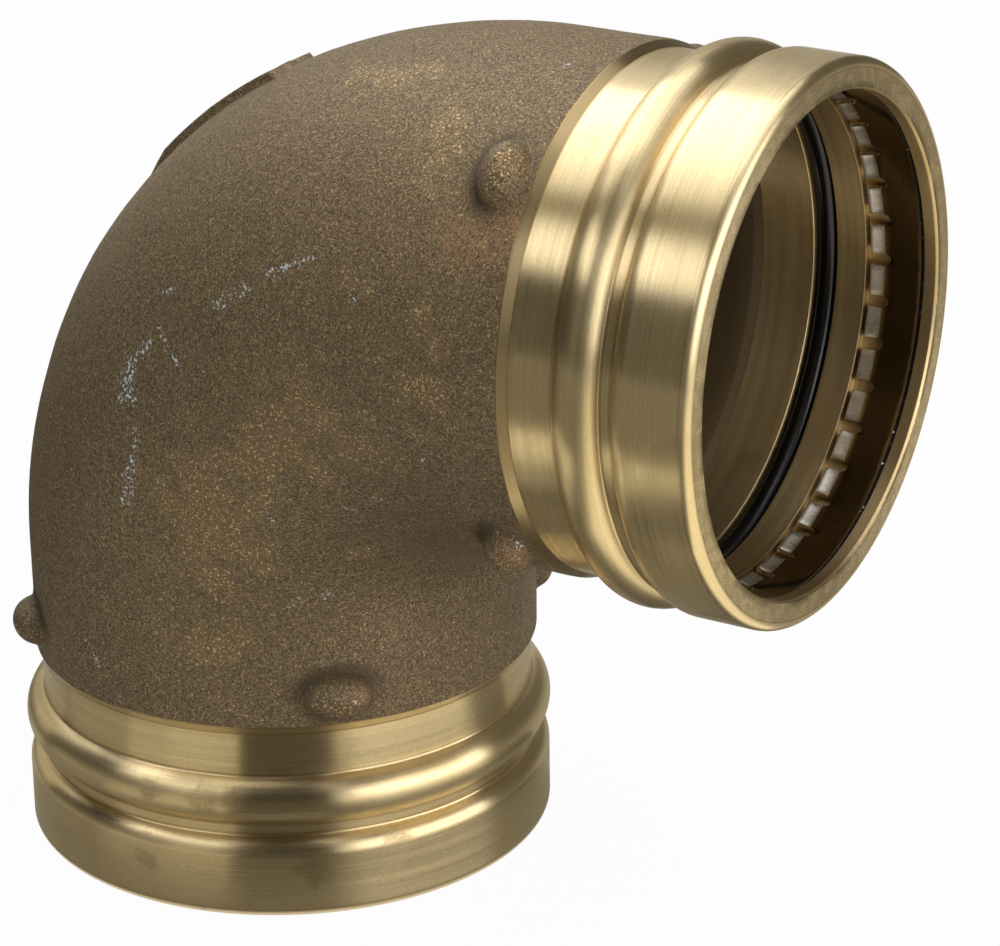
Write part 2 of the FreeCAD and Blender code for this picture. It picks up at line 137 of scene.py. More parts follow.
class FinishColours(bpy.types.PropertyGroup):
    """Colours of the metals and the rubber."""

    skin: colour("Cast skin", "Brown oxide of the cast skin", (0.160, 0.111, 0.058))
    skin_pale: colour("Pale skin", "Paler grains of the cast skin", (0.340, 0.245, 0.132))
    # Also painted shade: it darkens the feet of the nubs and the slope of the pipe stop.
    skin_dark_and_shade: colour("Dark skin", "Darkest oxide, in the pits of the cast skin", (0.060, 0.042, 0.023))
    # Painted highlight: the small glints that light leaves on single grains.
    skin_painted_glint: colour("Skin glint", "Brightest grains of the cast skin", (0.520, 0.385, 0.205))
    skin_gold: colour("Golden skin", "Skin that is worn towards the metal", (0.300, 0.205, 0.090))
    waterway: colour("Waterway", "Smooth brown of the cast inside", (0.165, 0.115, 0.056))
    gold: colour("Worn gold", "Bare metal that shows on worn grains", (0.850, 0.640, 0.320))
    copper: colour("Copper", "Reddish metal where the skin is rubbed or cut", (0.420, 0.200, 0.090))
    turned: colour("Turned bronze", "Freshly turned bronze", (0.765, 0.615, 0.355))
    bored: colour("Bored bronze", "Browner bronze inside the sockets", (0.600, 0.450, 0.240))
    faced: colour("Faced bronze", "Grainy bronze of the mouth faces", (0.690, 0.550, 0.320))
    # Also painted shade: the thin dark line at the mouth face's outer edge.
    face_grime_and_shade: colour("Face grime", "Grime in the grain of the mouth faces", (0.140, 0.105, 0.055))
    # Also painted shade: it darkens the side arm's slope and draws a thin line where the band meets the
    # mouth's outer round.
    tarnish_and_shade: colour("Tarnish", "Brown film on turned bronze", (0.340, 0.245, 0.120))
    fresh: colour("Fresh cut", "Brightest bronze, on the slope below the cast skin", (0.930, 0.780, 0.480))
    # Partly painted shade: thin darker lines in the feet of the fillets and of the slope. The orange-brown
    # edge next to the cast skin is the bronze's own film.
    foot_film_and_shade: colour("Crease shade", "Orange-brown film in the feet of the turned steps", (0.400, 0.250, 0.100))
    # Painted shade in the gap beside the grip ring, where the lip hides the groove's wall.
    gap_shade: colour("Gap shade", "Black oily dirt in the gap beside the grip ring", (0.012, 0.009, 0.006))
    chalk: colour("Chalk", "White-blue specks on the cast skin", (0.620, 0.720, 0.760))
    rubber: colour("Rubber", "Black rubber of the seal rings", (0.0035, 0.0035, 0.004))
    rubber_dust: colour("Rubber dust", "Dust on the seal rings", (0.014, 0.014, 0.016))
    steel: colour("Steel", "Brushed fingers of the grip rings", (0.720, 0.700, 0.650))
    steel_bright: colour("Bright steel", "Brightest strokes on the fingers", (0.920, 0.890, 0.840))
    steel_grime: colour("Steel grime", "Grime on the fingers", (0.250, 0.220, 0.180))
    # Painted reflection: the band's brown stands in for the bronze that the steel mirrors.
    steel_painted_reflection: colour("Steel with painted reflection", "Plain band of the grip rings, brown with oil", (0.470, 0.370, 0.250))


class StageSettings(bpy.types.PropertyGroup):
    """Where the camera stands and how the studio is lit."""

    camera_azimuth: angle("Camera azimuth", "Turn of the camera round the elbow, from the front", 31.205)
    camera_elevation: angle("Camera elevation", "How far the camera looks down", 22.285)
    camera_roll: angle("Camera roll", "Tilt of the camera about its own axis", 0.857)
    camera_distance: length("Camera distance", "From the camera to the plane it is aimed at", 934.5)
    aim_right: length("Aim offset right", "From the elbow's reference point to the picture's middle", -3.59)
    aim_down: length("Aim offset down", "From the elbow's reference point to the picture's middle", -24.07)
    lens: FloatProperty(name="Lens", description="Focal length on a 36 mm wide sensor, in millimetres",
                        default=148.98)
    ambient: amount("Ambient", "Brightness of the room's soft light", 0.15)
    key_glow: amount("Key glow", "Brightness of the low softbox at the right, where white is 1", 2.6)
    fill_glow: amount("Fill glow", "Brightness of the softbox that lights dull surfaces alone", 3.0)
    back_glow: amount("Back glow", "Brightness of the softbox behind at the left, where white is 1", 2.2)
    front_glow: amount("Front glow", "Brightness of the strip softbox at the left, where white is 1", 1.15)
    top_glow: amount("Top glow", "Brightness of the softbox overhead, where white is 1", 1.3)
    floor_shade: amount("Floor shade", "How pale the floor is", 0.70)


FLOOR_HALF = 4.0
FLOOR_DROP = 0.1 * MM
FLOOR_WHITE = 0.96
LAMP_DISTANCE = 1.2
CARD_TINT = (1.05, 0.99, 0.82)
CARD_DISTANCE = 1.6
CARD_LIFT = 0.3 * MM
CARD_STEP = 4.0
CARD_BENDS = 6

# Softboxes: the name of their glow in the stage's settings, width and height in metres, then the azimuth
# from the camera and the elevation in degrees. The fill lights dull surfaces alone, and reflections
# don't show it.
SOFTBOXES = (
    ("key", "key_glow", 1.50, 0.70, 60, 16),
    ("fill", "fill_glow", 1.00, 0.80, 30, 52),
    ("behind_left", "back_glow", 0.66, 0.58, -148, 47),
    ("front_left", "front_glow", 1.00, 0.34, -57, 41),
    ("above_left", "back_glow", 0.40, 0.21, -105, 55),
    ("overhead", "top_glow", 1.10, 1.10, 180, 80),
)

# Cards that stand round the elbow: azimuths from the camera and elevations in degrees, then the shade.
WALL_CARDS = (
    ("card_camera", -30, 20, 0, 88, 0.05),
    ("card_over_key", 20, 90, 34, 50, 0.10),
    ("card_left_low", -120, -50, 0, 32, 0.06),
    ("card_strip_low", -50, -30, 0, 32, 0.28),
    ("card_left_gap", -120, -86, 32, 49, 0.02),
    ("card_left_high", -90, -30, 50, 60, 0.50),
    ("card_top_front", -90, -30, 60, 88, 0.40),
    ("card_right_low", 94, 160, 0, 50, 0.14),
    ("card_back", 160, 240, 0, 32, 0.55),
)

# Cards that lie round its foot: azimuths from the camera in degrees, distances in mm, then the shade.
FLOOR_CARDS = (
    ("card_foot_front", -100, 20, 62, 85, 0.24),
    ("card_foot_right", 20, 100, 62, 85, 0.26),
    ("card_foot_back", 100, 260, 62, 85, 0.35),
    ("card_near_left", -100, -60, 85, 150, 0.30),
    ("card_near_strip", -60, -16, 85, 150, 0.60),
    ("card_near_front", -16, 100, 85, 150, 0.09),
    ("card_near_back", 100, 260, 85, 150, 0.45),
    ("card_front", -16, 20, 150, 1500, 0.15),
    ("card_front_left", -100, -45, 150, 230, 0.70),
    ("card_front_strip", -45, -16, 150, 230, 1.05),
    ("card_far_left", -100, -16, 230, 1500, 0.25),
    ("card_floor_left", -160, -100, 150, 1500, 0.03),
    ("card_front_right", 20, 80, 150, 230, 1.30),
    ("card_key_floor", 20, 80, 230, 900, 1.40),
    ("card_floor_right", 80, 160, 150, 1500, 0.42),
)

# Marks on the elbow: distance along its path from the lower mouth in mm and angle round it from the crotch
# in degrees, the same again for the far end where the mark is a trail, and reach in mm.
CHALK_MARKS = (
    (141, 250, 148, 250, 1.3), (154, 248, 163, 246, 1.1), (130, 240, 133, 242, 1.0),
    (127, 247, 128, 256, 1.0), (124, 248, 119, 248, 1.5), (118, 248, 113, 252, 2.7),
    (110, 258, 108, 260, 1.4), (105, 261, 96, 263, 1.7), (158, 302, 161, 302, 0.9),
    (208, 184, 214, 183, 1.2), (144, 303, 1.2), (151, 296, 0.9), (171, 255, 1.2), (184, 289, 1.1),
    (117, 294, 1.0), (89, 312, 1.4), (82, 305, 1.0), (62, 312, 1.1), (195, 193, 1.5),
    (205, 208, 1.4), (201, 311, 2.2), (60, 254, 55, 258, 0.8),
)
GOLD_MARKS = (
    (133, 282, 153, 275, 11), (187, 272, 11), (166, 288, 9), (100, 286, 115, 278, 15),
    (67, 288, 11), (169, 252, 173, 253, 2.5), (186, 253, 185, 259, 4), (143, 292, 5), (124, 314, 4),
    (163, 201, 172, 202, 6), (180, 214, 180, 230, 5),
)
COPPER_MARKS = ((201, 311, 6), (55, 322, 5), (199, 224, 4), (192, 240, 206, 236, 9))
BAND_SMUDGES = ((17, 327, 4.5), (8, 325, 4.0), (12, 309, 6.0), (11, 271, 3.5), (20, 314, 1.2))
BEAD_SMUDGES = ((29, 273, 4.0), (29, 285, 5.0), (29, 292, 4.0))

# Scales of the fine noises on the surfaces, in waves per metre.
FLAKES = 1750.0
CHIPS = 1350.0
MOTTLE = 1500.0
FACE_GRAIN = 2300.0
DIRT_CHIPS = 900.0
CLOUDS = 42.0

# Fine forms that only the looks have. SMOOTH_COSINE belongs to the smallest turn that counts as a corner,
# FLASH_SHARPNESS is how narrow the seal ring's flash is, and FINGER_CURVE how the fingers bend inwards.
# GATE_BREAK is an angle round the bend, and SKIN_SWAY is how strongly the skin's waves push its edge.
SMOOTH_COSINE = 0.999
SEAL_CLEARANCE = 0.2 * MM
SEAL_BEVEL = 0.2 * MM
SEAL_FLASH = 0.05 * MM
FLASH_SHARPNESS = 9
FINGER_CURVE = 1.25
GAP_SHADE_WIDTH = 0.5 * MM
NUB_SINK = 0.07 * MM
GATE_ROOT = 2.0 * MM
GATE_RAGGED = 0.35 * MM
GATE_FLANK = 0.45 * MM
GATE_BREAK = 0.006
PARTING_HALF = 0.7 * MM
SKIN_SWAY = 1.5

# Steps of the casting's mesh: columns round it in radians, rows along it in metres.
GATE_COLUMN, RIDGE_COLUMN = math.radians(0.3), math.radians(0.55)
NUB_COLUMN, PLAIN_COLUMN = math.radians(0.8), math.radians(2.2)
GATE_ROW, NUB_ROW, PLAIN_ROW, WATERWAY_ROW = 0.3 * MM, 0.62 * MM, 2.0 * MM, 4.0 * MM

FINISHES = ("cast_skin", "cast_inside", "turned_bronze", "bored_bronze", "faced_bronze", "gap_shade_and_chips")


class Graph:
    """A node tree being filled: each method adds one node and gives back its output."""

    def __init__(self, tree):
        self.tree = tree

    def node(self, kind, inputs=(), **settings):
        item = self.tree.nodes.new(kind)
        for name, value in settings.items():
            setattr(item, name, value)
        for key, value in dict(inputs).items():
            self.feed(item.inputs[key], value)
        return item

    def feed(self, socket, value):
        if isinstance(value, bpy.types.NodeSocket):
            self.tree.links.new(value, socket)
        elif socket.type == "RGBA" and len(value) == 3:
            socket.default_value = (*value, 1.0)
        else:
            socket.default_value = value

    def math(self, operation, first, second=0.0, clamp=False):
        item = self.node("ShaderNodeMath", {0: first, 1: second}, operation=operation, use_clamp=clamp)
        return item.outputs[0]

    def times(self, first, second):
        return self.math("MULTIPLY", first, second)

    def plus(self, first, second):
        return self.math("ADD", first, second)

    def minus(self, first, second):
        return self.math("SUBTRACT", first, second)

    def most(self, first, second):
        return self.math("MAXIMUM", first, second)

    def vector_math(self, operation, first, second=None):
        inputs = {0: first} if second is None else {0: first, 1: second}
        return self.node("ShaderNodeVectorMath", inputs, operation=operation).outputs

    def moved(self, vector, shift):
        return self.vector_math("ADD", vector, shift)[0]

    def scaled(self, vector, factor):
        return self.node("ShaderNodeVectorMath", {0: vector, 3: factor}, operation="SCALE").outputs[0]

    def span(self, value, low, high, to_low=0.0, to_high=1.0, smooth=False):
        kind = "SMOOTHSTEP" if smooth else "LINEAR"
        item = self.node("ShaderNodeMapRange", {"Value": value, "From Min": low, "From Max": high,
                                                "To Min": to_low, "To Max": to_high},
                         interpolation_type=kind, clamp=True)
        return item.outputs["Result"]

    def blend(self, factor, first, second):
        item = self.node("ShaderNodeMix", {0: factor, 6: first, 7: second}, data_type="RGBA")
        return item.outputs[2]

    def noise(self, vector, scale, detail=2.0, roughness=0.5):
        item = self.node("ShaderNodeTexNoise", {"Vector": vector, "Scale": scale, "Detail": detail,
                                                "Roughness": roughness})
        return item.outputs["Fac"]

    def split(self, vector):
        item = self.node("ShaderNodeSeparateXYZ", {0: vector})
        return item.outputs[0], item.outputs[1], item.outputs[2]

    def join(self, first, second, third):
        return self.node("ShaderNodeCombineXYZ", {0: first, 1: second, 2: third}).outputs[0]

    def place(self):
        return self.node("ShaderNodeTexCoord").outputs["Object"]

    def group(self, tree, **inputs):
        """Place a node group. Its inputs are named by their labels in small letters."""
        item = self.node("ShaderNodeGroup", node_tree=tree)
        for name, value in inputs.items():
            self.feed(item.inputs[name.replace("_", " ").capitalize()], value)
        return item

    def bump(self, height, distance, strength):
        item = self.node("ShaderNodeBump", {"Height": height, "Distance": distance, "Strength": strength})
        return item.outputs["Normal"]


def new_group(name, inputs, outputs):
    """Start a shader node group. Inputs are (name, kind, default) and outputs are (name, kind)."""
    tree = bpy.data.node_groups.new(name, "ShaderNodeTree")
    for label, kind, default in inputs:
        socket = tree.interface.new_socket(name=label, in_out="INPUT", socket_type="NodeSocket" + kind)
        if default is not None:
            socket.default_value = default
    for label, kind in outputs:
        tree.interface.new_socket(name=label, in_out="OUTPUT", socket_type="NodeSocket" + kind)
    graph = Graph(tree)
    return graph, graph.node("NodeGroupInput").outputs, graph.node("NodeGroupOutput")


def make_socket_coordinates(size):
    """Group that gives a point's place in its own socket: two coordinates across the axis, one along it."""
    graph, given, result = new_group("socket_coordinates", [("Position", "Vector", None)],
                                     [("Across", "Vector"), ("Axial", "Float")])
    x, y, z = graph.split(given["Position"])
    mouth = size.centre_to_mouth
    at_side = graph.math("GREATER_THAN", x, mouth - size.bend_radius)
    from_side = graph.minus(mouth, x)
    height = graph.minus(z, mouth)
    axial = graph.node("ShaderNodeMix", {0: at_side, 2: z, 3: from_side}).outputs[0]
    across = graph.node("ShaderNodeMix", {0: at_side, 2: x, 3: height}).outputs[0]
    graph.feed(result.inputs["Across"], graph.join(across, y, 0.0))
    graph.feed(result.inputs["Axial"], axial)
    return graph.tree


def make_turning_lines():
    """Group of the fine circumferential lines that a lathe tool leaves, in socket coordinates."""
    graph, given, result = new_group(
        "turning_lines",
        [("Across", "Vector", None), ("Axial", "Float", 0.0), ("Pitch", "Float", 0.4 * MM),
         ("Wander", "Float", 6.0)],
        [("Fine", "Float"), ("Coarse", "Float")])
    stretched = graph.scaled(given["Across"], given["Wander"])
    for name, factor in (("Fine", 1.0), ("Coarse", 0.22)):
        along = graph.times(graph.math("DIVIDE", given["Axial"], given["Pitch"]), factor)
        vector = graph.moved(stretched, graph.join(0.0, 0.0, along))
        graph.feed(result.inputs[name], graph.noise(vector, 1.0, 1.0))
    return graph.tree


def make_handling_dirt():
    """Group of smudges and finger marks, as a soft mask with torn edges."""
    graph, given, result = new_group(
        "handling_dirt",
        [("Position", "Vector", None), ("Size", "Float", 20 * MM), ("Cover", "Float", 0.4),
         ("Seed", "Float", 0.0)],
        [("Mask", "Float")])
    scale = graph.math("DIVIDE", 1.0, given["Size"])
    moved = graph.moved(given["Position"], graph.join(given["Seed"], 0.0, 0.0))
    large = graph.noise(moved, scale, 3.0, 0.6)
    torn = graph.noise(moved, graph.times(scale, 9.0), 3.0, 0.65)
    mixed = graph.plus(large, graph.times(graph.minus(torn, 0.5), 0.22))
    edge = graph.minus(0.78, graph.times(given["Cover"], 0.5))
    graph.feed(result.inputs["Mask"], graph.span(mixed, edge, graph.plus(edge, 0.16), smooth=True))
    return graph.tree


def make_cast_grain():
    """Group of the pebbled sand-cast surface: its height, each grain's tone, and broad clouds over them."""
    graph, given, result = new_group(
        "cast_grain",
        [("Position", "Vector", None), ("Grain", "Float", 0.5 * MM)],
        [("Height", "Float"), ("Tone", "Float"), ("Worn", "Float"), ("Cloud", "Float")])
    scale = graph.math("DIVIDE", 1.0, given["Grain"])
    grains = graph.node("ShaderNodeTexVoronoi", {"Vector": given["Position"], "Scale": scale})
    own = graph.split(grains.outputs["Color"])
    fine = graph.noise(given["Position"], scale, 2.0, 0.6)
    broad = graph.noise(given["Position"], graph.times(scale, 0.2), 2.0, 0.5)
    hollow = graph.times(grains.outputs["Distance"], 0.6)
    height = graph.minus(graph.plus(fine, graph.times(broad, 0.9)), hollow)
    graph.feed(result.inputs["Height"], height)
    tone = graph.plus(graph.times(own[0], 0.6), graph.times(fine, 0.7))
    graph.feed(result.inputs["Tone"], graph.minus(tone, hollow))
    graph.feed(result.inputs["Worn"], own[1])
    graph.feed(result.inputs["Cloud"], graph.noise(given["Position"], CLOUDS, 4.0, 0.62))
    return graph.tree


def make_torn_trail():
    """Group of one torn mark between two points: 1 on the line between them, ragged towards its reach."""
    graph, given, result = new_group(
        "torn_trail",
        [("Position", "Vector", None), ("Torn", "Float", 0.0), ("Start", "Vector", None),
         ("Way", "Vector", None), ("Reach", "Float", 4 * MM)],
        [("Mask", "Float")])
    way = given["Way"]
    offset = graph.vector_math("SUBTRACT", given["Position"], given["Start"])[0]
    reached = graph.math("DIVIDE", graph.vector_math("DOT_PRODUCT", offset, way)["Value"],
                         graph.vector_math("DOT_PRODUCT", way, way)["Value"], clamp=True)
    apart = graph.vector_math("SUBTRACT", offset, graph.scaled(way, reached))[0]
    distance = graph.vector_math("LENGTH", apart)["Value"]
    share = graph.plus(graph.math("DIVIDE", distance, given["Reach"]), given["Torn"])
    graph.feed(result.inputs["Mask"], graph.span(share, 1.0, 0.3, smooth=True))
    return graph.tree


def make_nub_shading(size):
    """Group that finds the nubs on each arm: painted shade round a nub's foot, and its rubbed crown."""
    graph, given, result = new_group(
        "nub_shading",
        [("Across", "Vector", None), ("Axial", "Float", 0.0)],
        [("Crease shade", "Float"), ("Crown", "Float")])
    cast = cast_radius(size)
    quarter = math.pi / 2
    x, y, z = graph.split(given["Across"])
    turn = graph.plus(graph.math("ARCTAN2", y, x), 2 * math.pi)
    off = graph.minus(graph.math("MODULO", turn, quarter), quarter / 2)
    round_way = graph.times(off, cast / (size.nub_length / 2))
    middle = size.cast_start + size.nub_offset
    along = graph.math("DIVIDE", graph.minus(given["Axial"], middle), size.nub_width / 2)
    share = graph.math("SQRT", graph.plus(graph.times(round_way, round_way), graph.times(along, along)))
    # Painted shade: a ring round the nub's foot, heavier on the side away from the mouth.
    foot_shade_ring = graph.times(graph.span(share, 0.78, 1.12, smooth=True),
                            graph.span(share, 1.75, 1.15, smooth=True))
    towards_socket = graph.span(along, -0.6, 0.7, 0.25, 1.0)
    graph.feed(result.inputs["Crease shade"], graph.times(foot_shade_ring, towards_socket))
    crown = graph.times(graph.span(share, 1.0, 0.55), graph.span(along, 0.6, -0.2))
    graph.feed(result.inputs["Crown"], crown)
    return graph.tree


def start_graph(holder):
    """Clear the nodes of a material or a world and start a new graph in it."""
    holder.use_nodes = True
    holder.node_tree.nodes.clear()
    return Graph(holder.node_tree)


def new_material(name, preview):
    """Start a material of the object, with a Principled shader and its colour in the viewport."""
    material = bpy.data.materials.new(name)
    material.diffuse_color = (*preview, 1.0)
    graph = start_graph(material)
    shader = graph.node("ShaderNodeBsdfPrincipled")
    graph.node("ShaderNodeOutputMaterial", {"Surface": shader.outputs[0]})
    return material, graph, shader


def brush_round(graph, shader, spread_ratio):
    """Spread the shader's highlights across the tool lines that run round the socket."""
    shader.inputs["Anisotropic"].default_value = spread_ratio
    tangent = graph.node("ShaderNodeTangent", direction_type="UV_MAP", uv_map="path")
    graph.feed(shader.inputs["Tangent"], tangent.outputs[0])


def cast_radius(size):
    """Radius of the cast skin's outside."""
    return size.bore - size.stop_height + size.cast_wall


def surface_point(size, along, theta, radius):
    """Point on the elbow, from its distance along the path in mm, its angle in degrees and its radius."""
    centre, across = ElbowPath(size).frame_at(along * MM)[:2]
    cosine, sine = math.cos(math.radians(theta)), math.sin(math.radians(theta))
    return (centre[0] + across[0] * cosine * radius, sine * radius, centre[2] + across[2] * cosine * radius)


def spots(graph, groups, position, size, marks, radius, tear=430.0, rag=1.8):
    """Mask of all the marks of one kind, at a radius, torn by a noise of the scale in tear."""
    torn = graph.times(graph.minus(graph.noise(position, tear, 3.0, 0.6), 0.5), rag)
    mask = None
    for mark in marks:
        start = Vector(surface_point(size, *mark[:2], radius))
        way = Vector(surface_point(size, *mark[-3:-1], radius)) - start
        spot = graph.group(groups["torn_trail"], position=position, torn=torn, start=start, way=way,
                           reach=mark[-1] * MM).outputs["Mask"]
        mask = spot if mask is None else graph.most(mask, spot)
    return mask


def make_cast_skin(colours, size, groups):
    """Brown sand-cast skin: fine grains of many browns, golden where worn, with a few chalky specks."""
    material, graph, shader = new_material("cast_skin", colours.skin)
    position = graph.place()
    cast = cast_radius(size)
    grain = graph.group(groups["cast_grain"], position=position, grain=0.31 * MM)
    tone, cloud = grain.outputs["Tone"], grain.outputs["Cloud"]
    socket = graph.group(groups["socket_coordinates"], position=position)
    nubs = graph.group(groups["nub_shading"], across=socket.outputs["Across"],
                       axial=socket.outputs["Axial"])
    flakes = graph.noise(position, FLAKES, 3.0, 0.7)
    base = graph.blend(graph.span(tone, -0.06, 0.32), colours.skin_dark_and_shade, colours.skin)
    base = graph.blend(graph.span(tone, 0.38, 0.88), base, colours.skin_pale)
    # Painted highlight: bright glints on single grains.
    base = graph.blend(graph.span(flakes, 0.56, 0.65, 0.0, 0.75), base, colours.skin_painted_glint)
    base = graph.blend(graph.span(cloud, 0.30, 0.70, 0.14, 0.0), base, colours.skin_dark_and_shade)
    copper = spots(graph, groups, position, size, COPPER_MARKS, cast + 3.0 * MM)
    base = graph.blend(graph.times(copper, graph.span(tone, 0.1, 0.7, 0.08, 0.42)), base, colours.copper)
    wear = graph.group(groups["handling_dirt"], position=position, size=34 * MM, cover=0.42, seed=3.1)
    dust = graph.most(spots(graph, groups, position, size, GOLD_MARKS, cast, tear=150.0, rag=5.0),
                      graph.times(wear.outputs["Mask"], 0.35))
    base = graph.blend(graph.times(dust, 0.20), base, colours.skin_gold)
    dust = graph.most(dust, graph.times(nubs.outputs["Crown"], 1.3))
    bright = graph.plus(flakes, graph.times(grain.outputs["Worn"], 0.05))
    enough = graph.minus(0.725, graph.times(dust, 0.100))
    gold = graph.span(graph.minus(bright, enough), 0.0, 0.02)
    base = graph.blend(graph.times(gold, 0.85), base, colours.gold)
    # Painted shade in the fold round each nub's foot.
    base = graph.blend(graph.times(nubs.outputs["Crease shade"], 0.88), base, colours.skin_dark_and_shade)
    chips = graph.noise(position, CHIPS, 2.0, 0.6)
    marks = spots(graph, groups, position, size, CHALK_MARKS, cast, tear=800.0, rag=5.0)
    chalk = graph.times(marks, graph.span(chips, 0.54, 0.60))
    chalk = graph.most(chalk, graph.span(chips, 0.775, 0.80))
    base = graph.blend(graph.times(chalk, 0.85), base, colours.chalk)
    graph.feed(shader.inputs["Base Color"], base)
    bare = graph.most(graph.times(gold, 0.9), 0.35)
    graph.feed(shader.inputs["Metallic"], graph.times(bare, graph.span(chalk, 0.0, 0.5, 1.0, 0.0)))
    graph.feed(shader.inputs["Roughness"], graph.span(tone, 0.1, 0.8, 0.62, 0.46))
    shader.inputs["Specular IOR Level"].default_value = 0.35
    graph.feed(shader.inputs["Normal"], graph.bump(grain.outputs["Height"], 0.10 * MM, 0.85))
    return material


def make_waterway(colours, size, groups):
    """Smooth brown inside of the casting, with painted shade on the pipe stop's slope."""
    material, graph, shader = new_material("cast_inside", colours.waterway)
    position = graph.place()
    grain = graph.group(groups["cast_grain"], position=position, grain=0.9 * MM)
    cloudy = graph.span(grain.outputs["Cloud"], 0.35, 0.65, 0.30, 0.0)
    base = graph.blend(cloudy, colours.waterway, colours.skin_dark_and_shade)
    base = graph.blend(graph.span(grain.outputs["Tone"], 0.0, 0.8, 0.16, 0.0), base, colours.skin_dark_and_shade)
    socket = graph.group(groups["socket_coordinates"], position=position)
    stop_end = size.socket_depth + size.stop_slope
    behind_stop = graph.span(socket.outputs["Axial"], stop_end, stop_end + 0.2 * MM)
    # Painted shade: the pipe stop's slope, deep in the socket, is darkened.
    base = graph.blend(graph.span(behind_stop, 0.0, 1.0, 0.75, 0.0), base, colours.skin_dark_and_shade)
    graph.feed(shader.inputs["Base Color"], base)
    graph.feed(shader.inputs["Metallic"], graph.times(behind_stop, 0.5))
    graph.feed(shader.inputs["Roughness"], graph.span(behind_stop, 0.0, 1.0, 0.9, 0.46))
    shader.inputs["Specular IOR Level"].default_value = 0.1
    graph.feed(shader.inputs["Normal"], graph.bump(grain.outputs["Height"], 0.06 * MM, 0.5))
    return material


def turned_feet(size):
    """Middles of the shoulder and the bead, then the fillets at the shoulder's foot and the bead's feet."""
    strip, land = size.bore + size.strip_wall, size.bore + size.land_wall
    shoulder_turn = math.acos(1 - (size.band_wall - size.strip_wall) / size.shoulder_round)
    shoulder = (size.bore + size.band_wall - size.shoulder_round,
                size.band_width - size.shoulder_round * math.sin(shoulder_turn))
    bead = (size.bore + size.bead_wall - size.bead_round, size.bead_centre)
    return (shoulder, bead,
            foot(shoulder, size.shoulder_round, strip, size.foot_round, 1.0),
            foot(bead, size.bead_round, strip, size.foot_round, -1.0),
            foot(bead, size.bead_round, land, size.foot_round, 1.0))


def make_turned_bronze(name, metal, colours, size, groups, film_share, rough, spread_ratio):
    """Machined bronze: fine tool lines, a brown film in patches and in the feet, smudges from handling."""
    material, graph, shader = new_material(name, metal)
    position = graph.place()
    socket = graph.group(groups["socket_coordinates"], position=position)
    axial = socket.outputs["Axial"]
    lines = graph.group(groups["turning_lines"], across=socket.outputs["Across"], axial=axial,
                        pitch=0.30 * MM, wander=14.0)
    film = graph.group(groups["handling_dirt"], position=position, size=30 * MM, cover=0.5, seed=1.7)
    touched = graph.group(groups["handling_dirt"], position=position, size=8 * MM, cover=0.22, seed=5.3)
    marks = touched.outputs["Mask"]
    mottle = graph.noise(position, MOTTLE, 3.0, 0.7)
    tone = graph.blend(graph.span(lines.outputs["Fine"], 0.3, 0.7, 0.26, 0.0), metal, colours.tarnish_and_shade)
    tone = graph.blend(graph.span(mottle, 0.35, 0.65, 0.16, 0.0), tone, colours.tarnish_and_shade)
    tone = graph.blend(graph.times(film.outputs["Mask"], film_share), tone, colours.tarnish_and_shade)
    if name == "turned_bronze":
        band = spots(graph, groups, position, size, BAND_SMUDGES, size.bore + size.band_wall)
        bead = spots(graph, groups, position, size, BEAD_SMUDGES, size.bore + size.bead_wall)
        smudged = graph.times(graph.most(band, bead), graph.span(mottle, 0.3, 0.55))
        marks = graph.most(marks, smudged)
        slope = size.cast_start - size.cast_step
        at_side = graph.math("GREATER_THAN", graph.split(position)[0], size.bend_radius)
        on_slope = graph.span(axial, slope, slope + 0.2 * MM)
        tone = graph.blend(graph.times(on_slope, 0.4), tone, colours.fresh)
        # Painted shade: the same slope is darker on the side arm than on the lower arm.
        tone = graph.blend(graph.times(graph.times(on_slope, at_side), 0.8), tone,
                           colours.tarnish_and_shade)
        # Painted shade: a thin darker line in the foot of each fillet and of the slope.
        fillets = turned_feet(size)[2:]
        for place in [middle[1] for middle, turn in fillets] + [slope]:
            beside = graph.math("ABSOLUTE", graph.minus(axial, place))
            tone = graph.blend(graph.span(beside, 0.10 * MM, 0.40 * MM, 0.50, 0.0, smooth=True), tone,
                               colours.foot_film_and_shade)
        tone = graph.blend(graph.span(axial, size.cast_start - 0.3 * MM, size.cast_start, 0.0, 0.6), tone,
                           colours.foot_film_and_shade)
        # Painted shade: a thin dark line where the band runs into the mouth's outer round.
        beside = graph.math("ABSOLUTE", graph.minus(axial, size.mouth_round))
        tone = graph.blend(graph.span(beside, 0.08 * MM, 0.25 * MM, 0.45, 0.0), tone, colours.tarnish_and_shade)
    tone = graph.blend(graph.times(marks, 0.55), tone, colours.tarnish_and_shade)
    graph.feed(shader.inputs["Base Color"], tone)
    shader.inputs["Metallic"].default_value = 1.0
    worn = graph.plus(graph.span(lines.outputs["Coarse"], 0.3, 0.7, rough - 0.03, rough + 0.03),
                      graph.times(marks, 0.10))
    graph.feed(shader.inputs["Roughness"], worn)
    brush_round(graph, shader, spread_ratio)
    height = graph.plus(lines.outputs["Fine"], graph.times(lines.outputs["Coarse"], 0.8))
    height = graph.plus(height, graph.times(mottle, 0.5))
    graph.feed(shader.inputs["Normal"], graph.bump(height, 0.006 * MM, 0.6))
    return material


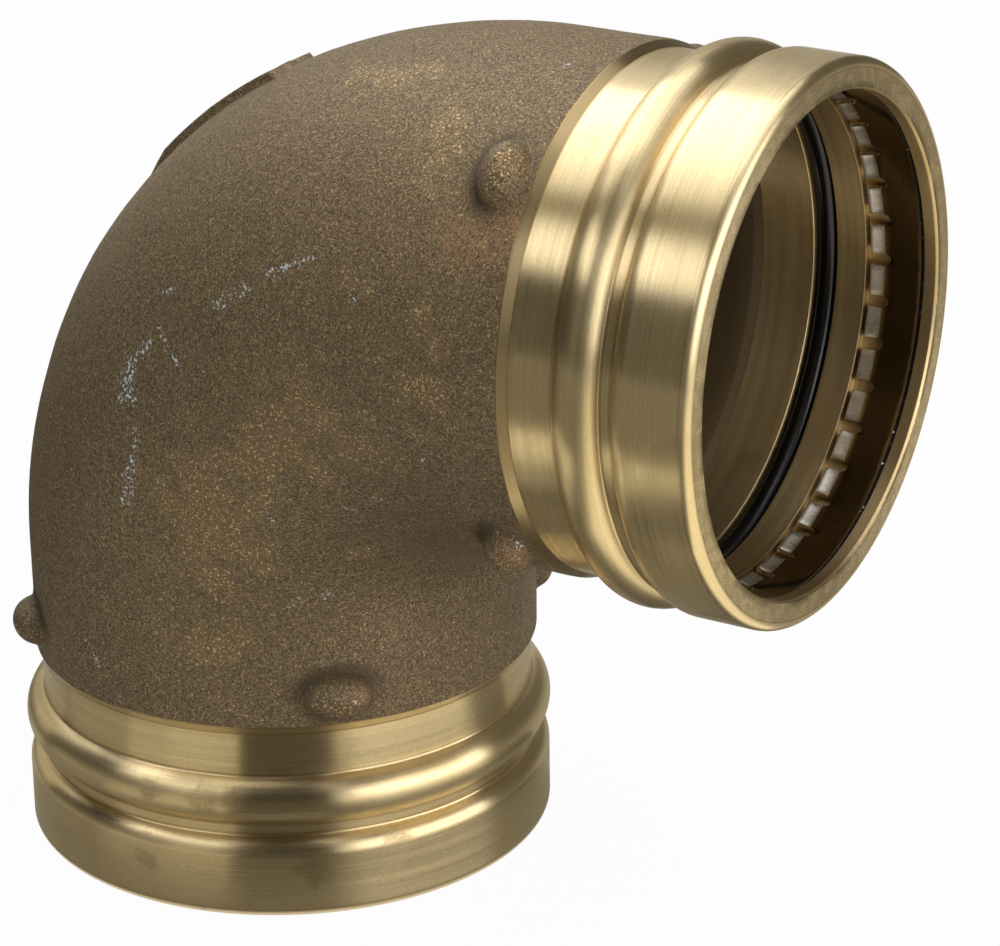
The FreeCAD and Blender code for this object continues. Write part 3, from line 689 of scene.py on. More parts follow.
def make_faced_bronze(colours, size, groups):
    """The mouth faces: turned flat, grainy and mottled."""
    material, graph, shader = new_material("faced_bronze", colours.faced)
    position = graph.place()
    mottle = graph.group(groups["handling_dirt"], position=position, size=3.5 * MM, cover=0.75, seed=7.9)
    grain = graph.noise(position, FACE_GRAIN, 3.0, 0.75)
    tone = graph.blend(graph.times(mottle.outputs["Mask"], 0.40), colours.faced, colours.tarnish_and_shade)
    tone = graph.blend(graph.span(grain, 0.38, 0.62, 0.55, 0.0), tone, colours.face_grime_and_shade)
    socket = graph.group(groups["socket_coordinates"], position=position)
    radial = graph.vector_math("LENGTH", socket.outputs["Across"])["Value"]
    outer = size.bore + size.band_wall - size.mouth_round
    inner = size.bore + size.mouth_bevel
    patches = graph.group(groups["handling_dirt"], position=position, size=12 * MM, cover=0.8, seed=3.3)
    grime_and_edge_shade = graph.times(patches.outputs["Mask"], graph.span(radial, inner, inner + 1.6 * MM, 0.9, 0.0))
    # Painted shade: a dark line where the outer round meets the face.
    grime_and_edge_shade = graph.most(grime_and_edge_shade, graph.span(radial, outer - 0.35 * MM, outer - 0.1 * MM, 0.0, 0.55))
    tone = graph.blend(grime_and_edge_shade, tone, colours.face_grime_and_shade)
    graph.feed(shader.inputs["Base Color"], tone)
    shader.inputs["Metallic"].default_value = 1.0
    graph.feed(shader.inputs["Roughness"], graph.span(grain, 0.3, 0.7, 0.42, 0.34))
    brush_round(graph, shader, 0.75)
    graph.feed(shader.inputs["Normal"], graph.bump(grain, 0.02 * MM, 0.6))
    return material


def make_gap_shade_and_chips(colours):
    """Painted shade: black in the gap beside the grip ring, with a few bright chips."""
    material, graph, shader = new_material("gap_shade_and_chips", colours.gap_shade)
    chips = graph.noise(graph.place(), DIRT_CHIPS, 2.0, 0.6)
    base = graph.blend(graph.span(chips, 0.68, 0.72), colours.gap_shade, colours.chalk)
    graph.feed(shader.inputs["Base Color"], base)
    graph.feed(shader.inputs["Roughness"], graph.span(chips, 0.4, 0.7, 0.35, 0.7))
    shader.inputs["Specular IOR Level"].default_value = 0.1
    graph.feed(shader.inputs["Normal"], graph.bump(chips, 0.04 * MM, 0.5))
    return material


def make_seal_rubber(colours, groups):
    """Black rubber with a soft sheen and a little dust."""
    material, graph, shader = new_material("ring_rubber", colours.rubber)
    position = graph.place()
    dust = graph.group(groups["handling_dirt"], position=position, size=12 * MM, cover=0.3, seed=8.0)
    tone = graph.blend(graph.times(dust.outputs["Mask"], 0.25), colours.rubber, colours.rubber_dust)
    graph.feed(shader.inputs["Base Color"], tone)
    cloud = graph.noise(position, 300.0, 3.0)
    graph.feed(shader.inputs["Roughness"], graph.span(cloud, 0.3, 0.7, 0.20, 0.28))
    shader.inputs["Specular IOR Level"].default_value = 0.4
    graph.feed(shader.inputs["Normal"], graph.bump(graph.noise(position, 900.0, 2.0), 0.02 * MM, 0.4))
    return material


def make_band_steel(colours, rings, groups):
    """Plain band of the grip rings: a dark mirror, brown by painted reflection, with painted shade at its
    outer edge.
    """
    material, graph, shader = new_material("band_steel", colours.steel_painted_reflection)
    position = graph.place()
    film = graph.group(groups["handling_dirt"], position=position, size=10 * MM, cover=0.5, seed=4.4)
    tone = graph.blend(graph.times(film.outputs["Mask"], 0.4), colours.steel_painted_reflection, colours.tarnish_and_shade)
    socket = graph.group(groups["socket_coordinates"], position=position)
    # Painted shade: a black strip with a few pale chips along the band's outer edge, beside the lip.
    edge = rings.grip_start + 0.95 * MM
    unshaded = graph.span(socket.outputs["Axial"], edge, edge + 0.2 * MM)
    chips = graph.noise(position, DIRT_CHIPS, 2.0, 0.6)
    edge_shade_and_chips = graph.blend(graph.span(chips, 0.66, 0.70), colours.gap_shade, colours.chalk)
    graph.feed(shader.inputs["Base Color"], graph.blend(unshaded, edge_shade_and_chips, tone))
    graph.feed(shader.inputs["Metallic"], unshaded)
    shader.inputs["Specular IOR Level"].default_value = 0.1
    rough = graph.span(film.outputs["Mask"], 0.0, 1.0, 0.12, 0.18)
    graph.feed(shader.inputs["Roughness"], graph.most(rough, graph.span(unshaded, 0.0, 1.0, 0.5, 0.1)))
    graph.feed(shader.inputs["Normal"], graph.bump(graph.noise(position, 160.0, 2.0), 0.02 * MM, 0.3))
    return material


def make_finger_steel(colours, groups):
    """Bent fingers of the grip rings: bright stainless steel, brushed along their length."""
    material, graph, shader = new_material("finger_steel", colours.steel)
    position = graph.place()
    socket = graph.group(groups["socket_coordinates"], position=position)
    across = graph.scaled(socket.outputs["Across"], 2600.0)
    along = graph.join(0.0, 0.0, graph.times(socket.outputs["Axial"], 180.0))
    strokes = graph.noise(graph.moved(across, along), 1.0, 2.0)
    marks = graph.group(groups["handling_dirt"], position=position, size=5 * MM, cover=0.35, seed=2.2)
    tone = graph.blend(graph.span(strokes, 0.35, 0.7), colours.steel, colours.steel_bright)
    tone = graph.blend(graph.times(marks.outputs["Mask"], 0.55), tone, colours.steel_grime)
    graph.feed(shader.inputs["Base Color"], tone)
    shader.inputs["Metallic"].default_value = 1.0
    graph.feed(shader.inputs["Roughness"], graph.span(strokes, 0.3, 0.7, 0.38, 0.26))
    graph.feed(shader.inputs["Normal"], graph.bump(strokes, 0.01 * MM, 0.5))
    return material


def make_materials(context):
    """Build the shared node groups and the object's materials once, and return the materials by name."""
    if "turned_bronze" not in bpy.data.materials:
        colours, size = context.scene.elbow_colours, context.scene.elbow_sizes
        rings = context.scene.elbow_rings
        groups = {
            "socket_coordinates": make_socket_coordinates(size),
            "turning_lines": make_turning_lines(),
            "handling_dirt": make_handling_dirt(),
            "cast_grain": make_cast_grain(),
            "torn_trail": make_torn_trail(),
            "nub_shading": make_nub_shading(size),
        }
        make_cast_skin(colours, size, groups)
        make_waterway(colours, size, groups)
        make_turned_bronze("turned_bronze", colours.turned, colours, size, groups,
                           film_share=0.25, rough=0.29, spread_ratio=0.92)
        make_turned_bronze("bored_bronze", colours.bored, colours, size, groups,
                           film_share=0.40, rough=0.40, spread_ratio=0.80)
        make_faced_bronze(colours, size, groups)
        make_gap_shade_and_chips(colours)
        make_seal_rubber(colours, groups)
        make_band_steel(colours, rings, groups)
        make_finger_steel(colours, groups)
    return bpy.data.materials


def straight(start, end, steps=1):
    """A straight stretch of a half section, as its points and its direction there."""
    rise, run = end[0] - start[0], end[1] - start[1]
    reach = math.hypot(rise, run)
    return [(start[0] + rise * i / steps, start[1] + run * i / steps, rise / reach, run / reach)
            for i in range(steps + 1)]


def rounded(centre, radius, start, end, steps):
    """A round stretch of a half section, from one angle to the other, either way round."""
    sense = 1.0 if end > start else -1.0
    points = []
    for i in range(steps + 1):
        turn = start + (end - start) * i / steps
        points.append((centre[0] + radius * math.cos(turn), centre[1] + radius * math.sin(turn),
                       -math.sin(turn) * sense, math.cos(turn) * sense))
    return points


def foot(centre, radius, floor_radius, fillet, side):
    """Middle of the small fillet between a round form and the straight face at its foot, and its angle."""
    rise = floor_radius + fillet - centre[0]
    away = side * math.sqrt((radius + fillet) ** 2 - rise ** 2)
    return (floor_radius + fillet, centre[1] + away), math.atan2(away, rise)


def trimmed(stretch, edge, at_start, at_end):
    """Pull a stretch's ends back by the width of the broken edge."""
    points = list(stretch)
    if at_start:
        r, s, way_r, way_s = points[0]
        points[0] = (r + way_r * edge, s + way_s * edge, way_r, way_s)
    if at_end:
        r, s, way_r, way_s = points[-1]
        points[-1] = (r - way_r * edge, s - way_s * edge, way_r, way_s)
    return points


def chain(stretches, edge, outward):
    """Join stretches into rows of (radius, axial, normal radius, normal axial), breaking sharp corners."""
    rows = []
    for index, stretch in enumerate(stretches):
        sharp = [True, True]
        if index:
            last = stretches[index - 1][-1]
            sharp[0] = last[2] * stretch[0][2] + last[3] * stretch[0][3] < SMOOTH_COSINE
        if index + 1 < len(stretches):
            ahead = stretches[index + 1][0]
            sharp[1] = ahead[2] * stretch[-1][2] + ahead[3] * stretch[-1][3] < SMOOTH_COSINE
        points = trimmed(stretch, edge, *sharp)
        if index and not sharp[0]:
            points = points[1:]
        for r, s, way_r, way_s in points:
            rows.append((r, s, way_s * outward, -way_r * outward))
    return rows


def outside_rows(size):
    """Half section of a socket's outside, from the mouth's inner edge up to the cast skin."""
    bore = size.bore
    band, strip, land = bore + size.band_wall, bore + size.strip_wall, bore + size.land_wall
    mouth, fillet = size.mouth_round, size.foot_round
    shoulder, bead, shoulder_fillet, low_fillet, high_fillet = turned_feet(size)
    shoulder_foot, shoulder_end = shoulder_fillet
    low_foot, bead_start = low_fillet
    high_foot, bead_end = high_fillet
    slope_start = size.cast_start - size.cast_step
    return chain([
        straight((bore + size.mouth_bevel, 0), (band - mouth, 0), 3),
        rounded((band - mouth, mouth), mouth, -math.pi / 2, 0, 6),
        straight((band, mouth), (band, shoulder[1]), 6),
        rounded(shoulder, size.shoulder_round, 0, shoulder_end, 8),
        rounded(shoulder_foot, fillet, shoulder_end + math.pi, math.pi, 5),
        straight((strip, shoulder_foot[1]), (strip, low_foot[1]), 2),
        rounded(low_foot, fillet, math.pi, bead_start + math.pi, 5),
        rounded(bead, size.bead_round, bead_start, bead_end, 18),
        rounded(high_foot, fillet, bead_end + math.pi, math.pi, 5),
        straight((land, high_foot[1]), (land, slope_start), 4),
        straight((land, slope_start), (cast_radius(size), size.cast_start), 2),
    ], size.edge_break, 1.0)


def inside_rows(size, rings):
    """Half section of a socket's inside, from the mouth's inner edge to behind the pipe stop."""
    bore = size.bore
    waterway = bore - size.stop_height
    groove = bore + size.groove_depth
    groove_end = size.lip + size.groove_width
    seal_round = rings.seal_section / 2 + SEAL_CLEARANCE
    bevel = SEAL_BEVEL
    seal_low = size.bead_centre - seal_round
    seal_high = size.bead_centre + seal_round
    return chain([
        straight((bore + size.mouth_bevel, 0), (bore, size.mouth_bevel)),
        straight((bore, size.mouth_bevel), (bore, size.lip)),
        straight((bore, size.lip), (groove, size.lip)),
        straight((groove, size.lip), (groove, groove_end), 2),
        straight((groove, groove_end), (bore, groove_end)),
        straight((bore, groove_end), (bore, seal_low - bevel), 2),
        straight((bore, seal_low - bevel), (bore + bevel, seal_low)),
        straight((bore + bevel, seal_low), (rings.seal_radius, seal_low)),
        rounded((rings.seal_radius, size.bead_centre), seal_round, -math.pi / 2, math.pi / 2, 8),
        straight((rings.seal_radius, seal_high), (bore + bevel, seal_high)),
        straight((bore + bevel, seal_high), (bore, seal_high + bevel)),
        straight((bore, seal_high + bevel), (bore, size.socket_depth), 3),
        straight((bore, size.socket_depth), (waterway, size.socket_depth + size.stop_slope)),
    ], size.edge_break, -1.0)


def inside_finish(size, radius, axial):
    """Finish of a place on the inside section: bored, painted shade beside the grip ring, or the stop's
    slope.
    """
    if axial > size.socket_depth - size.edge_break * 1.5:
        return "stop_face"
    in_gap = radius > size.bore + size.edge_break and abs(axial - size.lip) < GAP_SHADE_WIDTH
    return "gap_shade_and_chips" if in_gap else "bored_bronze"


def spread(start, end, spacing):
    """Points from start to end whose spacing follows a function of the place."""
    places = np.linspace(start, end, 4001)
    steps = np.array([1.0 / spacing(place) for place in places])
    total = np.concatenate(([0.0], np.cumsum((steps[1:] + steps[:-1]) / 2 * np.diff(places))))
    count = max(int(round(total[-1])), 2)
    return np.interp(np.linspace(0.0, total[-1], count + 1), total, places)


class ElbowPath:
    """The elbow's centreline, from the lower mouth through the bend to the side mouth."""

    def __init__(self, size):
        self.bend = size.bend_radius
        self.arm = size.centre_to_mouth - self.bend
        self.total = 2 * self.arm + self.bend * math.pi / 2

    def frame_at(self, along):
        """Centre, direction towards the crotch and direction of travel, so far from the lower mouth."""
        turn = min(max((along - self.arm) / self.bend, 0.0), math.pi / 2)
        low = min(along, self.arm)
        high = max(along - self.arm - self.bend * math.pi / 2, 0.0)
        centre = (self.bend - self.bend * math.cos(turn) + high, 0.0, low + self.bend * math.sin(turn))
        return centre, (math.cos(turn), 0.0, -math.sin(turn)), (math.sin(turn), 0.0, math.cos(turn))


def smooth_peak(height, width):
    """A height that is cut off at nought, run out smoothly over the width."""
    return (height + math.sqrt(height * height + width * width)) / 2


def skin_height(size, path, theta, along):
    """Height of the nubs, the gate stub and the parting ridge above the round cast skin."""
    cast = cast_radius(size)
    height = 0.0
    from_mouth = min(along, path.total - along)
    axial = (from_mouth - size.cast_start - size.nub_offset) / (size.nub_width / 2)
    if abs(axial) < 2.0:
        quarter = math.pi / 2
        off = (theta % quarter) - quarter / 2
        round_way = off * cast / (size.nub_length / 2)
        dome = 1.0 - axial * axial - round_way * round_way
        swell = size.nub_height * (math.sqrt(dome) if dome > 0 else dome * 1.2)
        height = max(smooth_peak(swell, size.nub_fillet) - NUB_SINK, 0.0)
    side = abs(cast * math.sin(theta))
    turn = (along - path.arm) / path.bend
    on_spine = math.cos(theta) < 0
    if on_spine and side < size.gate_width and size.gate_start < turn < size.gate_end + 0.1:
        ragged = GATE_RAGGED * noise.noise(Vector((along * 900, side * 900, theta)))
        inside = min(max((size.gate_width / 2 + ragged - side) / GATE_FLANK, 0.0), 1.0)
        rise = min((turn - size.gate_start) / size.gate_slope, 1.0)
        top = (cast + size.gate_height) / abs(math.cos(theta)) - cast
        top = -GATE_ROOT + (top + GATE_ROOT) * rise
        end = size.gate_end + 0.008 * noise.noise(Vector((side * 500, 4.0, theta * 20)))
        inside *= min(max((end - turn) / GATE_BREAK, 0.0), 1.0)
        height = max(height, top * inside)
    if side < 3.0 * MM:
        waver = 0.6 + 0.6 * noise.noise(Vector((along * 60, 0.0, math.cos(theta) * 5)))
        height += size.parting_height * waver * math.exp(-((side / PARTING_HALF) ** 2))
    return height


def skin_wave(size, point):
    """How far the cast skin strays from round at a point."""
    broad = noise.noise(Vector(point) * 28.0)
    fine = noise.noise(Vector(point) * 140.0)
    return size.skin_wave * (broad + 0.28 * fine)


class CastingGrid:
    """Rows of points round the elbow's path, closed into one skin."""

    def __init__(self, size, path, columns):
        self.size = size
        self.path = path
        self.columns = columns
        self.rows = []

    def add(self, along, radius, normal_radius, normal_along, finish, cast=0.0, sway=0.0):
        """Add one ring of points. cast says how much of the cast skin's shape it follows, and sway how far
        the skin's waves push it along the path."""
        self.rows.append((along, radius, normal_radius, normal_along, finish, cast, sway))

    def points(self):
        """Places of all the points, and the normals that the half section gives them."""
        count = len(self.columns)
        places = np.zeros((len(self.rows), count, 3))
        normals = np.zeros((len(self.rows), count, 3))
        cosines, sines = np.cos(self.columns), np.sin(self.columns)
        for index, row in enumerate(self.rows):
            along, radius, normal_radius, normal_along, finish, cast, sway = row
            centre, across, forward = self.path.frame_at(along)
            outward = np.outer(cosines, across)
            outward[:, 1] += sines
            radii = np.full(count, radius)
            shift = np.zeros(count)
            if cast > 0:
                for column, theta in enumerate(self.columns):
                    point = np.array(centre) + outward[column] * radius
                    raised = skin_wave(self.size, point)
                    if finish == "cast_skin":
                        raised += skin_height(self.size, self.path, theta, along)
                    radii[column] += raised * cast
            if sway:
                for column in range(count):
                    point = np.array(centre) + outward[column] * radius
                    shift[column] = skin_wave(self.size, point) * sway
            places[index] = np.array(centre) + outward * radii[:, None] + np.outer(shift, forward)
            normals[index] = outward * normal_radius + np.array(forward) * normal_along
        return places, normals


def build_casting_grid(size, rings):
    """Lay out every row of the casting: outside from mouth to mouth, then back through the waterway."""
    path = ElbowPath(size)
    cast = cast_radius(size)
    nub_half = math.radians(11.0)
    gate_edge = math.asin(size.gate_width / 2 / cast)

    def column_spacing(theta):
        from_nub = abs((theta % (math.pi / 2)) - math.pi / 4)
        from_spine = abs(theta - math.pi)
        from_seam = min(theta, 2 * math.pi - theta)
        if abs(from_spine - gate_edge) < math.radians(1.0):
            return GATE_COLUMN
        if min(from_spine, from_seam) < math.radians(2.2):
            return RIDGE_COLUMN
        return NUB_COLUMN if from_nub < nub_half else PLAIN_COLUMN

    nub_at = size.cast_start + size.nub_offset
    gate_place = path.arm + path.bend * size.gate_end

    def row_spacing(along):
        from_mouth = min(along, path.total - along)
        if abs(along - gate_place) < 1.6 * MM:
            return GATE_ROW
        return NUB_ROW if abs(from_mouth - nub_at) < 7.2 * MM else PLAIN_ROW

    grid = CastingGrid(size, path, spread(0.0, 2 * math.pi, column_spacing)[:-1])

    def add_socket(rows, side, finish_at):
        """Add one face of a socket. side is 1 at the lower mouth and -1 at the side mouth."""
        for radius, axial, normal_radius, normal_axial in rows:
            along = axial if side > 0 else path.total - axial
            finish = finish_at(radius, axial)
            beside_skin = finish == "turned_bronze" and axial > size.cast_start - size.cast_step * 0.4
            grid.add(along, radius, normal_radius, normal_axial * side, finish,
                     sway=SKIN_SWAY * side if beside_skin else 0.0)

    def outside_finish(radius, axial):
        return "turned_bronze" if axial > 0 else "faced_bronze"

    def bore_finish(radius, axial):
        return inside_finish(size, radius, axial)

    outside, inside = outside_rows(size), inside_rows(size, rings)
    add_socket(outside, 1, outside_finish)
    start = size.cast_start + size.edge_break
    for along in spread(start, path.total - start, row_spacing):
        near = min(along - start, path.total - start - along)
        fade = min(near / (1.2 * MM), 1.0)
        side = 1.0 if along < path.total / 2 else -1.0
        grid.add(along, cast, 1.0, 0.0, "cast_skin", cast=max(fade, 0.02),
                 sway=SKIN_SWAY * side * max(1.0 - near / (3.0 * MM), 0.0))
    add_socket(reversed(outside), -1, outside_finish)
    add_socket(inside, -1, bore_finish)
    start = size.socket_depth + size.stop_slope + size.edge_break
    waterway = size.bore - size.stop_height
    for along in spread(path.total - start, start, lambda place: -WATERWAY_ROW):
        near = min(along - start, path.total - start - along)
        grid.add(along, waterway, -1.0, 0.0, "cast_inside", cast=max(min(near / (3.0 * MM), 1.0), 0.01))
    add_socket(reversed(inside), 1, bore_finish)
    return grid


def add_path_map(mesh, grid, row_count, column_count):
    """UV map whose first coordinate runs along the section, so light spreads across the tool lines."""
    lengths = np.zeros(row_count + 1)
    for index in range(row_count):
        here, ahead = grid.rows[index], grid.rows[(index + 1) % row_count]
        lengths[index + 1] = lengths[index] + math.hypot(ahead[0] - here[0], ahead[1] - here[1])
    lengths /= lengths[-1]
    row, column = np.meshgrid(np.arange(row_count), np.arange(column_count), indexing="ij")
    corners = []
    for down, over in ((0, 0), (0, 1), (1, 1), (1, 0)):
        corners.append(np.stack((lengths[row + down], (column + over) / column_count), axis=-1))
    layer = mesh.uv_layers.new(name="path")
    layer.data.foreach_set("uv", np.stack(corners, axis=2).astype(np.float32).ravel())


def mesh_from_grid(name, grid, materials):
    """Turn the rows into one closed mesh with true normals on the turned faces."""
    places, normals = grid.points()
    row_count, column_count = places.shape[:2]
    row, column = np.meshgrid(np.arange(row_count), np.arange(column_count), indexing="ij")
    below, beside = (row + 1) % row_count, (column + 1) % column_count
    faces = np.stack((row * column_count + column, row * column_count + beside,
                      below * column_count + beside, below * column_count + column), axis=-1)
    mesh = new_mesh(name, places.reshape(-1, 3).tolist(), faces.reshape(-1, 4).tolist())
    for finish in FINISHES:
        mesh.materials.append(materials[finish])
    slots = []
    for index in range(row_count):
        here, ahead = grid.rows[index][4], grid.rows[(index + 1) % row_count][4]
        finish = ahead if here in ("cast_skin", "cast_inside") else here
        slots.append(FINISHES.index("cast_inside" if finish == "stop_face" else finish))
    mesh.polygons.foreach_set("material_index", np.repeat(slots, column_count).astype(np.int32))
    mesh.polygons.foreach_set("use_smooth", np.ones(row_count * column_count, bool))
    add_path_map(mesh, grid, row_count, column_count)
    mesh.update()
    shaded = np.zeros(row_count * column_count * 3)
    mesh.vertex_normals.foreach_get("vector", shaded)
    shaded = shaded.reshape(row_count, column_count, 3)
    for index, entry in enumerate(grid.rows):
        if not entry[4].startswith("cast"):
            shaded[index] = normals[index]
    mesh.normals_split_custom_set_from_vertices(shaded.reshape(-1, 3).tolist())
    return mesh


def new_mesh(name, points, faces):
    mesh = bpy.data.meshes.new(name)
    mesh.from_pydata(points, [], faces)
    return mesh


def new_object(name, data):
    """Put a mesh, a lamp or a camera into the scene as an object."""
    item = bpy.data.objects.new(name, data)
    bpy.context.scene.collection.objects.link(item)
    return item


def enclosed_volume(mesh):
    """Signed volume inside a closed mesh, positive where its faces look outward."""
    mesh.calc_loop_triangles()
    places = np.zeros(len(mesh.vertices) * 3)
    mesh.vertices.foreach_get("co", places)
    places = places.reshape(-1, 3)
    corners = np.zeros(len(mesh.loop_triangles) * 3, np.int32)
    mesh.loop_triangles.foreach_get("vertices", corners)
    first, second, third = (places[corners.reshape(-1, 3)[:, index]] for index in range(3))
    return float(np.einsum("ij,ij->i", first, np.cross(second, third)).sum() / 6)


def add_piece(mesh, node):
    """Put a finished mesh into the scene in place of the node of the frame that it stands for."""
    piece = new_object(mesh.name, mesh)
    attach(piece, "root")
    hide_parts(node)
    if enclosed_volume(mesh) <= 0:
        raise RuntimeError(mesh.name + " is inside out")


def socket_matrix(side, size):
    """Placement of a ring that is modelled in the lower socket."""
    if side == "lower":
        return Matrix.Identity(4)
    mouth = size.centre_to_mouth
    return Matrix.Translation((mouth, 0.0, mouth)) @ Matrix.Rotation(-math.pi / 2, 4, "Y")


class OBJECT_OT_elbow_casting(bpy.types.Operator):
    """Build the casting with its turned sockets as one closed skin."""

    bl_idname = "object.elbow_casting"
    bl_label = "Casting"

    def execute(self, context):
        size, rings = context.scene.elbow_sizes, context.scene.elbow_rings
        grid = build_casting_grid(size, rings)
        mesh = mesh_from_grid("casting", grid, make_materials(context))
        add_piece(mesh, "elbow_body")
        return {"FINISHED"}


def seal_tube(size, rings, around=256, section=28):
    """The seal ring of the lower socket, with the faint flash of its mould along both sides."""
    points, faces = [], []
    for i in range(around):
        turn = 2 * math.pi * i / around
        for j in range(section):
            tilt = 2 * math.pi * j / section
            flash = SEAL_FLASH * math.exp(-(math.cos(tilt) * FLASH_SHARPNESS) ** 2)
            reach = rings.seal_section / 2 - SEAL_FLASH + flash
            radius = rings.seal_radius + reach * math.cos(tilt)
            points.append((radius * math.cos(turn), radius * math.sin(turn),
                           size.bead_centre + reach * math.sin(tilt)))
            ahead, over = (i + 1) % around, (j + 1) % section
            faces.append((i * section + j, ahead * section + j, ahead * section + over, i * section + over))
    return points, faces


class OBJECT_OT_elbow_seal_rings(bpy.types.Operator):
    """Build the two rubber seal rings in their grooves."""

    bl_idname = "object.elbow_seal_rings"
    bl_label = "Seal rings"

    def execute(self, context):
        size, rings = context.scene.elbow_sizes, context.scene.elbow_rings
        materials = make_materials(context)
        points, faces = seal_tube(size, rings)
        for side in ("lower", "side"):
            mesh = new_mesh("seal_" + side, points, faces)
            mesh.transform(socket_matrix(side, size))
            mesh.materials.append(materials["ring_rubber"])
            mesh.polygons.foreach_set("use_smooth", [True] * len(faces))
            add_piece(mesh, "seal_ring_" + side)
        return {"FINISHED"}


def grip_sheet(rings):
    """The grip ring's strip as a thin sheet at mid thickness: a plain band with bent, slotted fingers."""
    pitch = 2 * math.pi / rings.fingers
    middle = rings.grip_inner + rings.grip_thickness / 2
    tip = rings.grip_tip + rings.grip_thickness / 2
    half_slot = rings.slot_width / 2
    bend = rings.grip_start + rings.grip_band
    slot_steps, finger_steps, band_rows, finger_rows = 8, 5, 5, 4
    offsets = [-math.cos(math.pi * i / slot_steps) * half_slot for i in range(slot_steps + 1)]
    slot_angle = half_slot / middle
    turns = [offset / middle for offset in offsets]
    turns += [slot_angle + (pitch - 2 * slot_angle) * i / finger_steps for i in range(1, finger_steps)]
    ends = [bend - math.sqrt(max(half_slot ** 2 - offset ** 2, 0.0)) for offset in offsets]
    ends += [bend] * (finger_steps - 1)
    per_pitch = len(turns)
    columns = rings.fingers * per_pitch
    points, faces = [], []
    for k in range(rings.fingers):
        for turn, end in zip(turns, ends):
            theta = k * pitch + turn
            for row in range(band_rows + 1):
                along = rings.grip_start + (end - rings.grip_start) * row / band_rows
                points.append((middle * math.cos(theta), middle * math.sin(theta), along))
            for row in range(1, finger_rows + 1):
                share = row / finger_rows
                radius = middle + (tip - middle) * share ** FINGER_CURVE
                points.append((radius * math.cos(theta), radius * math.sin(theta),
                               bend + rings.grip_reach * share))
    rows = band_rows + 1 + finger_rows
    for column in range(columns):
        ahead = (column + 1) % columns
        on_finger = column % per_pitch >= slot_steps
        for row in range(rows - 1):
            if row < band_rows or on_finger:
                faces.append((column * rows + row, ahead * rows + row, ahead * rows + row + 1,
                              column * rows + row + 1))
    used = sorted({corner for face in faces for corner in face})
    renumbered = {old: new for new, old in enumerate(used)}
    return [points[old] for old in used], [tuple(renumbered[corner] for corner in face) for face in faces]


class OBJECT_OT_elbow_grip_rings(bpy.types.Operator):
    """Build the two slotted steel grip rings in their grooves."""

    bl_idname = "object.elbow_grip_rings"
    bl_label = "Grip rings"

    def execute(self, context):
        size, rings = context.scene.elbow_sizes, context.scene.elbow_rings
        materials = make_materials(context)
        points, faces = grip_sheet(rings)
        for side in ("lower", "side"):
            source = new_object("grip_sheet", new_mesh("grip_sheet", points, faces))
            thick = source.modifiers.new("thickness", "SOLIDIFY")
            thick.thickness = rings.grip_thickness
            thick.offset = 0.0
            thick.use_even_offset = True
            eased = source.modifiers.new("eased_edges", "BEVEL")
            eased.width = rings.grip_bevel
            eased.segments = 2
            eased.limit_method = "ANGLE"
            eased.angle_limit = math.radians(50)
            depsgraph = context.evaluated_depsgraph_get()
            mesh = bpy.data.meshes.new_from_object(source.evaluated_get(depsgraph))
            bpy.data.objects.remove(source)
            mesh.name = "grip_" + side
            mesh.materials.clear()
            mesh.materials.append(materials["band_steel"])
            mesh.materials.append(materials["finger_steel"])
            bend = rings.grip_start + rings.grip_band
            on_finger = [int(face.center.z > bend) for face in mesh.polygons]
            mesh.polygons.foreach_set("material_index", on_finger)
            mesh.polygons.foreach_set("use_smooth", [True] * len(mesh.polygons))
            mesh.set_sharp_from_angle(angle=math.radians(35))
            mesh.transform(socket_matrix(side, size))
            add_piece(mesh, "grip_ring_" + side)
        return {"FINISHED"}


def heading(azimuth, elevation):
    """Direction from the elbow towards an azimuth, counted from its front, and an elevation."""
    return Vector((math.sin(azimuth) * math.cos(elevation), -math.cos(azimuth) * math.cos(elevation),
                   math.sin(elevation)))


def add_camera(context, stage, size):
    """Stand the camera where the photograph was taken from."""
    forward = -heading(stage.camera_azimuth, stage.camera_elevation)
    right = Vector((math.cos(stage.camera_azimuth), math.sin(stage.camera_azimuth), 0.0))
    down = forward.cross(right)
    cosine, sine = math.cos(stage.camera_roll), math.sin(stage.camera_roll)
    rolled_right = right * cosine + down * sine
    rolled_down = down * cosine - right * sine
    reference = Vector((size.centre_to_mouth * 0.45, 0.0, size.centre_to_mouth * 0.5))
    aim = reference + rolled_right * stage.aim_right + rolled_down * stage.aim_down
    data = bpy.data.cameras.new("camera")
    data.sensor_width = 36.0
    data.lens = stage.lens
    data.clip_start = 0.05
    camera = new_object("camera", data)
    rotation = Matrix((rolled_right, -rolled_down, -forward)).transposed().to_4x4()
    camera.matrix_world = Matrix.Translation(aim - forward * stage.camera_distance) @ rotation
    context.scene.camera = camera


def add_softbox(name, glow, width, height, azimuth, elevation, target):
    """Hang a softbox in a direction from the elbow and aim it there. Its glow is 1 where it looks white."""
    data = bpy.data.lights.new(name, "AREA")
    data.shape = "RECTANGLE"
    data.size = width
    data.size_y = height
    data.energy = math.pi * width * height * glow
    lamp = new_object(name, data)
    away = heading(azimuth, elevation)
    lamp.location = target + away * LAMP_DISTANCE
    lamp.rotation_euler = away.to_track_quat("Z", "Y").to_euler()
    lamp.visible_glossy = name != "fill"


